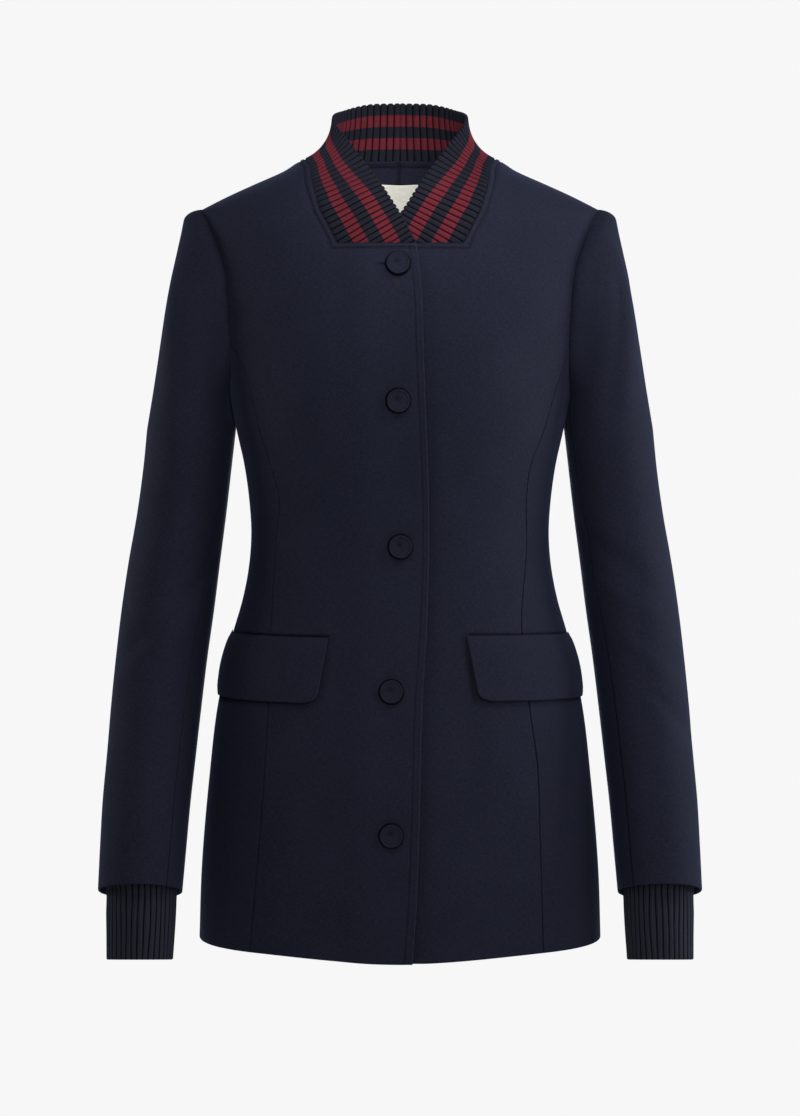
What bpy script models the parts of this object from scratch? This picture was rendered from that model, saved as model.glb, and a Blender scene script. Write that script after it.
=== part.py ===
"""Varsity blazer: a fitted, collarless tailored jacket with a striped rib collar and rib cuffs.

The jacket is filled out and hollow, as if worn. Its origin lies midway between the two points
where the shoulder meets the neck. The front faces -Y, the wearer's left is +X, and +Z is up.
Sizes are in millimetres and become metres where a corner is placed.

Run it with:  blender --background --python part.py
"""

import functools
import math

import bmesh
import bpy
import numpy as np
from mathutils import Matrix, Vector
from mathutils.bvhtree import BVHTree

MM = 0.001

# ---------------------------------------------------------------- driving sizes (mm, degrees)
CLOTH = 2.0                 # wall of the interfaced wool, facing and all
SEAM = 0.3                  # gap between two pieces at a seam
RIB = 3.5                   # wall of the folded rib band of the collar
CUFF_RIB = 2.6              # wall of the folded rib cuff

HEM = -696.0                # height of the hem at the sides and back
HEM_DIP, HEM_DIP_WIDTH, HEM_DIP_LENGTH = 5.2, 130.0, 96.0      # it dips to the front's middle
UNDERARM_ROW = -240.0       # a level row just below the armholes
NECK_SEAM = -79.0           # the level seam under the collar's crossing ends
SQUARENESS = 2.3            # 2 makes the body's rings ellipses, more makes them squarer

LAP = 2.7                   # how far the right front stands off the left one it covers
LAP_FULL_AT = 24.0          # the lap stands fully off up to here, past the centre
LAP_GONE_AT = 58.0          # and lies flush from here on
UNDERLAP = -22.0            # edge of the covered left front, past the centre

BUST_RISE, BUST_ACROSS, BUST_HEIGHT = 8.0, 80.0, -195.0
BUST_WIDTH, BUST_LENGTH = 45.0, 60.0

ARMHOLE_TOP, ARMHOLE_MIDDLE, ARMHOLE_BOTTOM = -43.8, -126.0, -208.0
ARMHOLE_FRONT, ARMHOLE_BACK = 50.5, 52.0
ARMHOLE_LOWER_SQUARENESS = 2.6
PRINCESS_START = 116.0      # degrees round the armhole from its top, front and back

FLAP_TOP, FLAP_DROP = -420.0, 57.0
FLAP_FRONT_TOP, FLAP_FRONT_BOTTOM = 59.5, 69.0      # front end, from the front's centre line
FLAP_BACK_ANGLE = -2.0
FLAP_CORNER = 8.5
FLAP_THICKNESS = 1.9
FLAP_LIFT_TOP = 0.4           # how far its top stands off the front
FLAP_LIFT_FRONT, FLAP_LIFT_BACK = 3.4, 0.6             # and its bottom edge, at its two ends
FRONT_CENTRE = -2.0         # the flaps and the closure are centred a little to the right

FLAP_LENGTH = 128.0
BUTTON_RADIUS, BUTTON_HEIGHT = 10.8, 3.4
# The button's turned profile: share of its radius, share of its height.
BUTTON_PROFILE = ((0.0, 0.68), (0.35, 0.74), (0.68, 0.94), (0.84, 1.0), (0.96, 0.77), (1.0, 0.42),
                  (0.95, 0.18), (0.8, 0.0), (0.0, 0.0))
COLLAR_GAP_BACK, COLLAR_GAP_FRONT = 0.008, 0.028     # shares of the band left open at its seam
FACING_THICKNESS = 1.5
FACING_TOP_SHORT = 0.06     # share of its top row that the facing stops short of the neckline
LABEL_TOP, LABEL_DROP, LABEL_HALF_WIDTH = -10.9, 42.0, 32.0
LABEL_THICKNESS, LABEL_GAP = 1.0, 0.8
LABEL_DIP = 1.5             # its top edge dips this much to the middle

# Colours as linear shares of red, green and blue, and roughness.
NAVY_WOOL, NAVY_RIB = (0.015, 0.018, 0.033), (0.020, 0.021, 0.031)
FACING_NAVY, LABEL_CREAM = (0.011, 0.011, 0.022), (0.44, 0.42, 0.36)
WOOL_ROUGHNESS, RIB_ROUGHNESS, LABEL_ROUGHNESS = 0.85, 0.9, 0.6


def mix(start, end, share):
    return start * (1 - share) + end * share


class Table:
    """Named columns against the first one, read between the rows along a smooth curve."""

    def __init__(self, names, *rows):
        self.names = names.split()
        self.rows = np.array(sorted(rows), dtype=float)
        keys = self.rows[:, 0]
        steps = np.diff(keys)[:, None]
        rises = np.diff(self.rows, axis=0) / steps
        inner = (steps[:-1] * rises[1:] + steps[1:] * rises[:-1]) / (steps[:-1] + steps[1:])
        self.slopes = np.vstack([rises[:1], inner, rises[-1:]])

    def at(self, name, key):
        column = self.names.index(name)
        keys = self.rows[:, 0]
        inside = min(max(key, keys[0]), keys[-1])
        row = min(int(np.searchsorted(keys, inside, side="right")) - 1, len(keys) - 2)
        step = keys[row + 1] - keys[row]
        t = (inside - keys[row]) / step
        low, high = self.rows[row, column], self.rows[row + 1, column]
        rise_low, rise_high = self.slopes[row, column], self.slopes[row + 1, column]
        curve = (low * (1 + 2 * t) * (1 - t) ** 2 + high * t * t * (3 - 2 * t)
                 + step * (rise_low * t * (1 - t) ** 2 - rise_high * t * t * (1 - t)))
        return curve + (key - inside) * (rise_low if key < keys[0] else rise_high)


# The body's level rings, from the back of the neck down to the hem. The full width is the
# outline at the sides; away from them the rings follow the rounded width over the shoulder.
BODY = Table("height half_width rounded_width front_depth back_depth",
             (8.4, 68.0, 68.0, 50.0, 69.5), (1.8, 85.5, 85.0, 55.0, 73.0),
             (-10.2, 105.8, 104.5, 63.0, 77.5), (-21.1, 130.5, 127.5, 73.0, 81.5),
             (-31.9, 154.5, 149.0, 80.5, 85.5), (-42.6, 176.0, 164.0, 85.5, 89.0),
             (-45.0, 178.0, 167.0, 86.5, 90.0), (-51.0, 178.0, 171.0, 88.5, 92.0),
             (-60.0, 176.5, 174.0, 92.0, 95.0), (-74.0, 172.5, 173.0, 96.0, 98.0),
             (-100.0, 168.0, 168.0, 102.0, 104.0), (-130.0, 164.5, 164.5, 107.5, 108.0),
             (-165.0, 159.0, 159.0, 113.0, 107.0), (-208.0, 152.5, 152.5, 115.0, 103.5),
             (-239.0, 146.7, 146.7, 113.0, 99.0), (-272.0, 139.5, 139.5, 108.5, 94.0),
             (-304.0, 135.2, 135.2, 104.5, 90.5), (-331.0, 133.6, 133.6, 102.5, 89.0),
             (-369.0, 136.8, 136.8, 102.0, 90.5), (-391.0, 141.3, 141.3, 103.0, 94.0),
             (-423.0, 150.5, 150.5, 105.5, 100.5), (-445.0, 155.6, 155.6, 107.5, 105.0),
             (-488.0, 164.2, 164.2, 112.0, 112.0), (-553.0, 171.9, 171.9, 116.5, 119.0),
             (-639.0, 179.1, 179.1, 119.0, 123.0), (-696.0, 181.0, 181.0, 120.0, 124.0))
ROUNDED_FROM_SINE = 0.6     # sine of the angle at which the rounded width has taken over

# The front neckline, as lengths from the shoulder point down to the corner of the neck seam.
NECKLINE = Table("length angle height",
                 (0.0, 0.0, 2.2), (22.0, 22.6, 0.0), (44.0, 42.0, -7.4), (66.0, 54.9, -19.0),
                 (89.0, 64.0, -34.0), (115.0, 69.6, -56.0), (141.0, 72.6, -79.0))
NECKLINE_LENGTH = 141.0

# The back neckline, from the shoulder point to the centre back.
BACK_NECKLINE = Table("angle height",
                      (-90.0, 8.4), (-60.0, 7.6), (-30.0, 5.2), (0.0, 2.2))

# Where the princess seams run, as distances from the middle. The front ones differ a little.
PRINCESS = Table("height front_right front_left back",
                 (-162.0, 149.0, 151.0, 149.0), (-181.0, 138.5, 143.5, 141.0),
                 (-208.0, 130.0, 132.5, 131.0), (-243.5, 122.0, 126.0, 119.0),
                 (-298.0, 106.0, 113.5, 104.0), (-340.0, 107.5, 110.5, 98.0),
                 (-413.0, 112.0, 104.5, 100.0), (-480.0, 114.8, 112.5, 108.0),
                 (-536.0, 118.0, 120.0, 115.0), (-588.0, 122.0, 121.8, 119.0),
                 (-692.0, 131.0, 125.0, 125.0))

# How far the lapping edge of the right front lies past the middle.
FRONT_EDGE = Table("height past_middle",
                   (-79.0, 14.3), (-118.0, 18.7), (-168.0, 20.3), (-209.0, 21.8),
                   (-261.0, 23.9), (-341.0, 25.0), (-416.0, 23.0), (-474.0, 19.6),
                   (-584.0, 16.8), (-650.0, 14.3), (-696.0, 10.8))

# The sleeve's rings, left sleeve. Lean tips a ring, near edge up, for each unit of depth.
SLEEVE = Table("height across away half_width half_depth lean",
               (-239.0, 187.6, 6.0, 39.8, 58.0, 0.0), (-272.0, 191.4, 9.0, 39.6, 56.5, 0.0),
               (-315.0, 197.0, 10.0, 40.1, 55.5, 0.0), (-358.5, 203.6, 8.0, 41.1, 55.0, 0.03),
               (-401.5, 209.2, 3.0, 41.5, 54.0, 0.08), (-444.0, 214.3, -4.0, 40.9, 52.0, 0.14),
               (-486.5, 218.4, -14.0, 40.3, 50.0, 0.19), (-529.0, 221.9, -25.0, 39.5, 48.0, 0.22),
               (-571.0, 225.5, -36.0, 38.9, 46.5, 0.24), (-612.0, 227.8, -47.0, 38.0, 45.0, 0.26),
               (-645.6, 229.8, -55.0, 37.1, 43.9, 0.26))
SLEEVE_TOP_RING, SLEEVE_HEM = -239.0, -645.6
SLEEVE_SQUARENESS = 2.1

# The sleeve head. Turn runs from the outer line (0) to the underarm (180), in front and behind.
# It leaves the seam with a roll, heading down the sleeve but turned outwards by a share.
SLEEVE_HEAD = Table("turn armhole_turn roll roll_length outwards stand_off",
                    (0.0, 0.0, 15.0, 10.0, 0.0, -3.6), (45.0, 29.0, 11.0, 10.0, 0.35, -2.4),
                    (90.0, 62.0, 7.0, 10.0, 0.6, -0.5), (120.0, 104.0, 5.0, 10.0, 0.65, 0.0),
                    (150.0, 150.0, 2.0, 8.0, 0.3, 1.6), (180.0, 180.0, 0.0, 8.0, 0.0, 2.6))
SLEEVE_CLEARANCE = 0.5      # sideways, between the sleeve's start and the armhole edge
ARMHOLE_INSET = 0.6         # the sleeve starts this far inside the armhole
ROLL_START_SLOPE = 0.15

# The two lengthwise sleeve seams, against the way down: 0 seam, 1 roll, 2 top ring, 3 hem.
SLEEVE_SEAMS = Table("down front back",
                     (0.0, 152.0, 236.0), (2.0, 150.0, 238.0), (2.25, 143.0, 240.0),
                     (2.5, 136.5, 242.0), (3.0, 134.0, 244.0))

CUFF = Table("height across away half_width half_depth lean",
             (-633.0, 229.2, -51.8, 34.7, 41.2, 0.26), (-643.0, 228.5, -55.5, 32.0, 34.0, 0.22),
             (-668.0, 228.5, -60.0, 30.8, 31.5, 0.19), (-705.0, 229.3, -66.0, 29.3, 29.5, 0.17))

# The collar's free edge against the length of its seamed edge from the centre back.
COLLAR_EDGE = Table("length across away height bow",
                    (0.0, 0.0, 64.0, 60.0, 1.0), (40.0, 30.0, 55.0, 57.8, 2.0),
                    (78.0, 52.0, 36.0, 50.0, 4.0), (104.0, 61.0, 17.0, 43.5, 6.0),
                    (121.0, 59.2, 3.0, 36.5, 6.5), (138.0, 51.6, -8.0, 25.5, 6.0),
                    (155.0, 43.8, -20.0, 15.5, 4.5), (172.0, 36.3, -33.0, 4.4, 3.0),
                    (197.0, 25.2, -52.0, -12.0, 1.5), (218.0, 16.1, -67.0, -26.6, 0.5),
                    (239.0, 7.1, -80.0, -41.6, 0.0), (259.0, -1.3, -90.0, -55.0, 0.0),
                    (292.0, -14.0, -98.0, -78.5, 0.0), (322.0, -25.5, -103.0, -100.0, 0.0))
BACK_NECK_LENGTH = 118.0
COLLAR_FOLLOWS_BODY_FROM, COLLAR_FOLLOWS_BODY_AT = 190.0, 240.0
COLLAR_LIFT_RIGHT = 4.0     # how far the crossing right end rides over the left one
COLLAR_PROUD = 0.3

BUTTONS = {                 # name: across, height of the centre
    "button_1": (-1.7, -98.3),
    "button_2": (-1.7, -216.6),
    "button_3": (0.4, -341.0),
    "button_4": (-7.4, -466.4),
    "button_5": (-7.4, -589.7),
}

RIGHT, LEFT = -1, 1
SIDE_NAMES = {RIGHT: "right", LEFT: "left"}

# ---------------------------------------------------------------- how finely the pieces are cut
SKIRT_ROWS, UNDERARM_ROWS, CHEST_ROWS, SHOULDER_ROWS = 10, 3, 5, 7
SIDE_ROWS = SKIRT_ROWS + UNDERARM_ROWS
NECK_ROW = SIDE_ROWS + CHEST_ROWS
ROWS = NECK_ROW + SHOULDER_ROWS
FRONT_NECK_COLUMNS, FRONT_SHOULDER_COLUMNS = 3, 5
BACK_NECK_COLUMNS, BACK_SHOULDER_COLUMNS = 6, 3
BACK_NECK_SHARE = 0.5       # share of the back's columns' breadth that the neckline takes
SIDE_COLUMNS = 10

SLEEVE_LENGTHS = 9          # rows between the sleeve's top ring and its hem
SLEEVE_DOWN = ([0.0, 0.35, 0.7, 1.0, 1.25, 1.5, 1.75, 2.0]
               + [2 + i / SLEEVE_LENGTHS for i in range(1, SLEEVE_LENGTHS + 1)])
SLEEVE_COLUMNS = {"upper": 13, "under": 5}
SEAM_TURN = 0.25            # half a seam's gap, as degrees round the sleeve
CUFF_HEIGHTS = (-633.0, -643.0, -668.0, -705.0)
CUFF_COLUMNS = 24

COLLAR_ROWS = 4
# Lengths along the seamed edge that match the corners of the backs and the fronts it joins.
COLLAR_STATIONS = ([BACK_NECK_LENGTH * i / BACK_NECK_COLUMNS for i in range(BACK_NECK_COLUMNS)]
                   + [BACK_NECK_LENGTH + NECKLINE_LENGTH * i / SHOULDER_ROWS
                      for i in range(SHOULDER_ROWS + 1)])
COLLAR_HALF = len(COLLAR_STATIONS) - 1

FLAP_ROWS, FLAP_COLUMNS_BETWEEN = 3, 10
FLAP_END_SHARES = [0.0, 0.012, 0.032, 0.07]         # close together where the corners are round
FLAP_SHARES = (FLAP_END_SHARES
               + [mix(FLAP_END_SHARES[-1], 1 - FLAP_END_SHARES[-1], i / FLAP_COLUMNS_BETWEEN)
                  for i in range(1, FLAP_COLUMNS_BETWEEN)]
               + [1 - share for share in reversed(FLAP_END_SHARES)])
LABEL_COLUMNS, LABEL_ROWS = 6, 3
BUTTON_STEPS = 16
PROBE = 20.0                # how far off the cloth the button's seat is felt for


# ---------------------------------------------------------------- small helpers
def ease(share):
    """A smooth step from 0 to 1."""
    share = min(max(share, 0.0), 1.0)
    return share * share * (3 - 2 * share)


def unit(vector):
    return vector / np.linalg.norm(vector)


def super_radius(cosine, sine, squareness):
    return (abs(cosine) ** squareness + abs(sine) ** squareness) ** (-1 / squareness)


# ---------------------------------------------------------------- the body's form
def ring_width(sine, height):
    """The half width that a level ring aims for at an angle with this sine."""
    return mix(BODY.at("half_width", height), BODY.at("rounded_width", height),
               ease(abs(sine) / ROUNDED_FROM_SINE))


def body_ring(angle, height):
    """A point on the body's plain ring. Angle is 0 at the left side and 90 at the front."""
    cosine, sine = math.cos(math.radians(angle)), math.sin(math.radians(angle))
    radius = super_radius(cosine, sine, SQUARENESS)
    depth = BODY.at("front_depth" if sine > 0 else "back_depth", height)
    return np.array([ring_width(sine, height) * radius * cosine, -depth * radius * sine, height])


def skin(angle, height):
    """A point on the body's outer face, filled out over the bust, with the front's dipped hem."""
    point = body_ring(angle, height)
    if angle % 360 < 180:
        across = abs(point[0])
        off_peak = (((across - BUST_ACROSS) / BUST_WIDTH) ** 2
                    + ((height - BUST_HEIGHT) / BUST_LENGTH) ** 2)
        point[1] -= BUST_RISE * math.exp(-off_peak / 2) * math.sin(math.radians(angle)) ** 2
        point[2] -= (HEM_DIP * ease((HEM_DIP_WIDTH - across) / HEM_DIP_WIDTH)
                     * ease((HEM + HEM_DIP_LENGTH - height) / HEM_DIP_LENGTH))
    return point


def on_body(angle, height, out=0.0):
    """The skin's point, moved out along its normal."""
    along = skin(angle + 0.2, height) - skin(angle - 0.2, height)
    upward = skin(angle, height + 0.2) - skin(angle, height - 0.2)
    return skin(angle, height) + out * unit(np.cross(upward, along))


def front_angle(across, height):
    """The angle of the front's point that lies this far to the left of the middle."""
    share = min(abs(across) / BODY.at("half_width", height), 1.0)
    angle = math.degrees(math.atan2((1 - share ** SQUARENESS) ** (1 / SQUARENESS), share))
    return angle if across > 0 else 180 - angle


def armhole(turn, face, inset=0.0):
    """Angle and height of the left armhole's edge. Turn runs from the top, face is 1 in front."""
    cosine, sine = math.cos(math.radians(turn)), math.sin(math.radians(turn))
    radius = super_radius(cosine, sine, 2.0 if cosine > 0 else ARMHOLE_LOWER_SQUARENESS)
    height = ARMHOLE_MIDDLE + (ARMHOLE_TOP - ARMHOLE_MIDDLE - inset) * cosine * radius
    reach = ((ARMHOLE_FRONT if face > 0 else ARMHOLE_BACK) - inset) * sine * radius
    share = reach / BODY.at("front_depth" if face > 0 else "back_depth", height)
    angle = math.degrees(math.atan2(share, (1 - share ** SQUARENESS) ** (1 / SQUARENESS)))
    return np.array([face * angle, height])


@functools.cache
def armhole_turn_at(height, face):
    """The turn at which the armhole passes a height, by halving."""
    low, high = 0.0, 180.0
    for _ in range(40):
        middle = (low + high) / 2
        if armhole(middle, face)[1] > height:
            low = middle
        else:
            high = middle
    return low


@functools.cache
def armhole_miss(column, face):
    """How far the seam's own line would miss the armhole's edge, which it must meet."""
    angle, height = armhole(PRINCESS_START, face)
    return abs(skin(angle, height)[0]) - PRINCESS.at(column, height)


def princess(column, height, face):
    """Angle and height of a princess seam, ending on the armhole."""
    start = armhole(PRINCESS_START, face)
    across = PRINCESS.at(column, height)
    miss = armhole_miss(column, face)
    across += miss * ease((height - UNDERARM_ROW) / (start[1] - UNDERARM_ROW))
    return np.array([face * front_angle(across, height), height])


def coons(bottom, top, left, right, u, v):
    """Angle and height in a patch between four edges, each a function giving (angle, height)."""
    def place(edge, share):
        return body_ring(*edge(share))

    ruled = mix(place(bottom, u), place(top, u), v) + mix(place(left, v), place(right, v), u)
    corners = mix(mix(place(bottom, 0), place(bottom, 1), u),
                  mix(place(top, 0), place(top, 1), u), v)
    x, y, height = ruled - corners
    face = -1 if y > 0 else 1
    depth = BODY.at("front_depth" if face > 0 else "back_depth", height)
    angle = 0.0
    for _ in range(8):
        width = ring_width(math.sin(angle), height)
        angle = math.atan2(abs(y) / depth, x / width)
    return np.array([face * math.degrees(angle), height])


def shift_across(point, distance):
    """Moves a point of the chart along its ring, outwards from the middle, by millimetres."""
    angle, height = point
    per_degree = np.linalg.norm(skin(angle + 0.5, height) - skin(angle - 0.5, height))
    return np.array([angle - (distance if angle > 0 else -distance) / per_degree, height])


# ---------------------------------------------------------------- rows that the panels share
@functools.cache
def row_heights():
    """Levels from the hem up to the row at the neck seam, shared so that seams match."""
    princess_top = armhole(PRINCESS_START, 1)[1]
    skirt = [mix(HEM, UNDERARM_ROW, i / SKIRT_ROWS) for i in range(SKIRT_ROWS)]
    underarm = [mix(UNDERARM_ROW, princess_top, i / UNDERARM_ROWS) for i in range(UNDERARM_ROWS)]
    chest = [mix(princess_top, NECK_SEAM, i / CHEST_ROWS) for i in range(CHEST_ROWS + 1)]
    return skirt + underarm + chest


def outer_edge(height, column, face):
    """The outer edge of a front or back below its shoulder: princess seam, then armhole."""
    if height <= armhole(PRINCESS_START, face)[1] + 1e-6:
        return shift_across(princess(column, height, face), -SEAM / 2)
    return armhole(armhole_turn_at(height, face), face)


def lap_share(across):
    """1 where the right front covers the left one, easing to 0 beside it."""
    return 1 - ease((across - LAP_FULL_AT) / (LAP_GONE_AT - LAP_FULL_AT))


# ---------------------------------------------------------------- panels as points
def front_point(side, column, row, out):
    """A point of the left front; the right front mirrors it, laps over and stands off."""
    heights = row_heights()
    seam = "front_" + SIDE_NAMES[side]
    corner = np.array([NECKLINE.at("angle", NECKLINE_LENGTH), NECK_SEAM])
    columns = FRONT_NECK_COLUMNS + FRONT_SHOULDER_COLUMNS
    if row <= NECK_ROW:
        height = heights[row]
        edge = UNDERLAP if side == LEFT else -FRONT_EDGE.at("past_middle", height)
        neck_across = skin(*corner)[0]
        inner = front_angle(edge, height)
        outer = outer_edge(height, seam, 1)[0]
        top_inner = front_angle(UNDERLAP, NECK_SEAM)
        top_outer = outer_edge(NECK_SEAM, seam, 1)[0]
        neck_share = (front_angle(neck_across, NECK_SEAM) - top_inner) / (top_outer - top_inner)
        if row == NECK_ROW:
            neck_share = (corner[0] - inner) / (outer - inner)
        if column <= FRONT_NECK_COLUMNS:
            share = neck_share * column / FRONT_NECK_COLUMNS
        else:
            share = mix(neck_share, 1, (column - FRONT_NECK_COLUMNS) / FRONT_SHOULDER_COLUMNS)
        angle = mix(inner, outer, share)
    else:
        u = max(column - FRONT_NECK_COLUMNS, 0) / FRONT_SHOULDER_COLUMNS
        v = (row - NECK_ROW) / SHOULDER_ROWS
        side_turn = armhole_turn_at(NECK_SEAM, 1)

        def neck_edge(share):
            length = NECKLINE_LENGTH * (1 - share)
            return np.array([NECKLINE.at("angle", length), NECKLINE.at("height", length)])

        def ridge(share):
            return np.array([0.0, mix(NECKLINE.at("height", 0.0), ARMHOLE_TOP, share)])

        angle, height = coons(lambda share: mix(corner, armhole(side_turn, 1), share), ridge,
                              neck_edge, lambda share: armhole(side_turn * (1 - share), 1), u, v)
        angle = max(angle, math.degrees(SEAM / 2 / BODY.at("front_depth", height)))
    if side == RIGHT:
        out += LAP * lap_share(skin(angle, height)[0])
    point = on_body(angle, height, out)
    if row == NECK_ROW and column <= FRONT_NECK_COLUMNS:
        point = on_body(angle, height + NECK_SEAM - point[2], out)
    return point * (side, 1, 1)


def back_chart(side, column, row):
    """Angle and height on the left back, from the centre back seam to the outer edge."""
    heights = row_heights()
    columns = BACK_NECK_COLUMNS + BACK_SHOULDER_COLUMNS
    neck_share = BACK_NECK_SHARE
    if column <= BACK_NECK_COLUMNS:
        share = neck_share * column / BACK_NECK_COLUMNS
    else:
        share = mix(neck_share, 1, (column - BACK_NECK_COLUMNS) / BACK_SHOULDER_COLUMNS)
    if row <= NECK_ROW:
        height = heights[row]
        outer = outer_edge(height, "back", -1)[0]
        return np.array([mix(-90.0, outer, share), height])
    v = (row - NECK_ROW) / SHOULDER_ROWS
    side_turn = armhole_turn_at(NECK_SEAM, -1)

    def top(part):
        if part <= neck_share:
            angle = -90.0 * (1 - part / neck_share)
            return np.array([angle, BACK_NECKLINE.at("height", angle)])
        along = (part - neck_share) / (1 - neck_share)
        return np.array([0.0, mix(BACK_NECKLINE.at("height", 0.0), ARMHOLE_TOP, along)])

    centre_top = top(0.0)
    centre_low = np.array([-90.0, NECK_SEAM])
    side_low = armhole(side_turn, -1)
    angle, height = coons(lambda part: mix(centre_low, side_low, part), top,
                          lambda part: mix(centre_low, centre_top, part),
                          lambda part: armhole(side_turn * (1 - part), -1), share, v)
    return np.array([min(angle, -math.degrees(SEAM / 2 / BODY.at("back_depth", height))), height])


def back_point(side, column, row, out):
    angle, height = back_chart(side, column, row)
    point = on_body(angle, height, out)
    point[0] = max(point[0], SEAM / 2)
    return point * (side, 1, 1)


def side_point(side, column, row, out):
    """A point of the left side panel, whose top edge follows the underarm."""
    heights = row_heights()
    seam = "front_" + SIDE_NAMES[side]
    u = column / SIDE_COLUMNS

    def seam_edge(height, name, face):
        return shift_across(princess(name, height, face), SEAM / 2)

    def level(height, share):
        return mix(seam_edge(height, seam, 1), seam_edge(height, "back", -1), share)

    if row <= SKIRT_ROWS:
        return on_body(*level(heights[row], u), out) * (side, 1, 1)
    v = (row - SKIRT_ROWS) / UNDERARM_ROWS
    start, end = heights[SKIRT_ROWS], heights[SIDE_ROWS]

    def underarm(share):
        turn = mix(PRINCESS_START, 360 - PRINCESS_START, share)
        if share == 0:
            return seam_edge(end, seam, 1)
        if share == 1:
            return seam_edge(end, "back", -1)
        return armhole(turn, 1) if turn <= 180 else armhole(360 - turn, -1)

    chart = coons(lambda share: level(start, share), underarm,
                  lambda share: seam_edge(mix(start, end, share), seam, 1),
                  lambda share: seam_edge(mix(start, end, share), "back", -1), u, v)
    return on_body(*chart, out) * (side, 1, 1)


# ---------------------------------------------------------------- sleeves and cuffs as points
def ring_point(table, turn, height, squareness=2.0):
    """A point on a sleeve or cuff ring. Turn is 0 on the outer side and 90 in front."""
    cosine, sine = math.cos(math.radians(turn)), math.sin(math.radians(turn))
    radius = super_radius(cosine, sine, squareness)
    depth = table.at("half_depth", height) * sine * radius
    return np.array([table.at("across", height) + table.at("half_width", height) * cosine * radius,
                     table.at("away", height) - depth,
                     height + table.at("lean", height) * depth])


def sleeve_skin(turn, down):
    """The left sleeve's outer face. Down is 0 at the armhole, 2 at the top ring, 3 at the hem."""
    if down >= 2:
        height = mix(SLEEVE_TOP_RING, SLEEVE_HEM, down - 2)
        return ring_point(SLEEVE, turn, height, SLEEVE_SQUARENESS)
    turn %= 360
    face = 1 if turn <= 180 else -1
    half_turn = turn if face > 0 else 360 - turn
    start = skin(*armhole(SLEEVE_HEAD.at("armhole_turn", half_turn), face, ARMHOLE_INSET))
    start = start + np.array([SLEEVE_CLEARANCE, 0, 0])
    roll = SLEEVE_HEAD.at("roll", half_turn)
    roll_length = SLEEVE_HEAD.at("roll_length", half_turn)
    cosine, sine = math.cos(math.radians(turn)), math.sin(math.radians(turn))
    rolled = roll * np.array([max(cosine, 0.0), -sine, 0.0])
    top_ring = ring_point(SLEEVE, turn, SLEEVE_TOP_RING, SLEEVE_SQUARENESS)
    below = ring_point(SLEEVE, turn, SLEEVE_TOP_RING - 1, SLEEVE_SQUARENESS)
    end = top_ring - rolled
    length = np.linalg.norm(end - start)
    if down <= 1:
        quarter = down * math.pi / 2
        travelled = roll_length * mix(1 - math.cos(quarter), down, ROLL_START_SLOPE)
        rolled = rolled * math.sin(quarter)
    else:
        travelled = mix(roll_length, length, down - 1)
    t = travelled / length
    arrive = (below - top_ring) * length
    outwards = SLEEVE_HEAD.at("outwards", half_turn)
    leave = unit(mix(unit(end - start), np.array([1.0, 0.0, 0.0]), outwards)) * length
    rolled = rolled + np.array([SLEEVE_HEAD.at("stand_off", half_turn) * 4 * t * (1 - t), 0, 0])
    return (start * (1 + 2 * t) * (1 - t) ** 2 + end * t * t * (3 - 2 * t)
            + leave * t * (1 - t) ** 2 - arrive * t * t * (1 - t) + rolled)


def sleeve_point(turn, down, out):
    """The sleeve skin's point, moved out along its normal."""
    ahead = min(down + 0.004, 3.0)
    along = sleeve_skin(turn, ahead) - sleeve_skin(turn, ahead - 0.008)
    around = sleeve_skin(turn + 0.5, down) - sleeve_skin(turn - 0.5, down)
    return sleeve_skin(turn, down) + out * unit(np.cross(around, along))


def sleeve_place(side, half):
    """The placing function of a sleeve half, which is 'upper' or 'under'."""
    def place(column, row, layer):
        down = SLEEVE_DOWN[row]
        front, back = SLEEVE_SEAMS.at("front", down), SLEEVE_SEAMS.at("back", down)
        if half == "upper":
            turn = mix(back - 360 + SEAM_TURN, front - SEAM_TURN, column / SLEEVE_COLUMNS[half])
        else:
            turn = mix(front + SEAM_TURN, back - SEAM_TURN, column / SLEEVE_COLUMNS[half])
        return sleeve_point(turn, down, -CLOTH * layer) * (side, 1, 1)
    return place


def cuff_place(side):
    def place(column, row, layer):
        turn = 360 * column / CUFF_COLUMNS
        height = CUFF_HEIGHTS[row]
        point = ring_point(CUFF, turn, height)
        middle = np.array([CUFF.at("across", height), CUFF.at("away", height), height])
        inward = (middle - point) * (1, 1, 0)
        return (point + unit(inward) * CUFF_RIB * layer) * (side, 1, 1)
    return place


# ---------------------------------------------------------------- the collar as points
def collar_base(length):
    """The seamed edge: round the back neck, down the front neckline and straight on."""
    if length <= BACK_NECK_LENGTH:
        angle = -90.0 * (1 - length / BACK_NECK_LENGTH)
        return skin(angle, BACK_NECKLINE.at("height", angle))
    down = length - BACK_NECK_LENGTH
    if down <= NECKLINE_LENGTH:
        return skin(NECKLINE.at("angle", down), NECKLINE.at("height", down))
    end = collar_base(BACK_NECK_LENGTH + NECKLINE_LENGTH)
    before = collar_base(BACK_NECK_LENGTH + NECKLINE_LENGTH - 4)
    return end + unit(end - before) * (down - NECKLINE_LENGTH)


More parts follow.
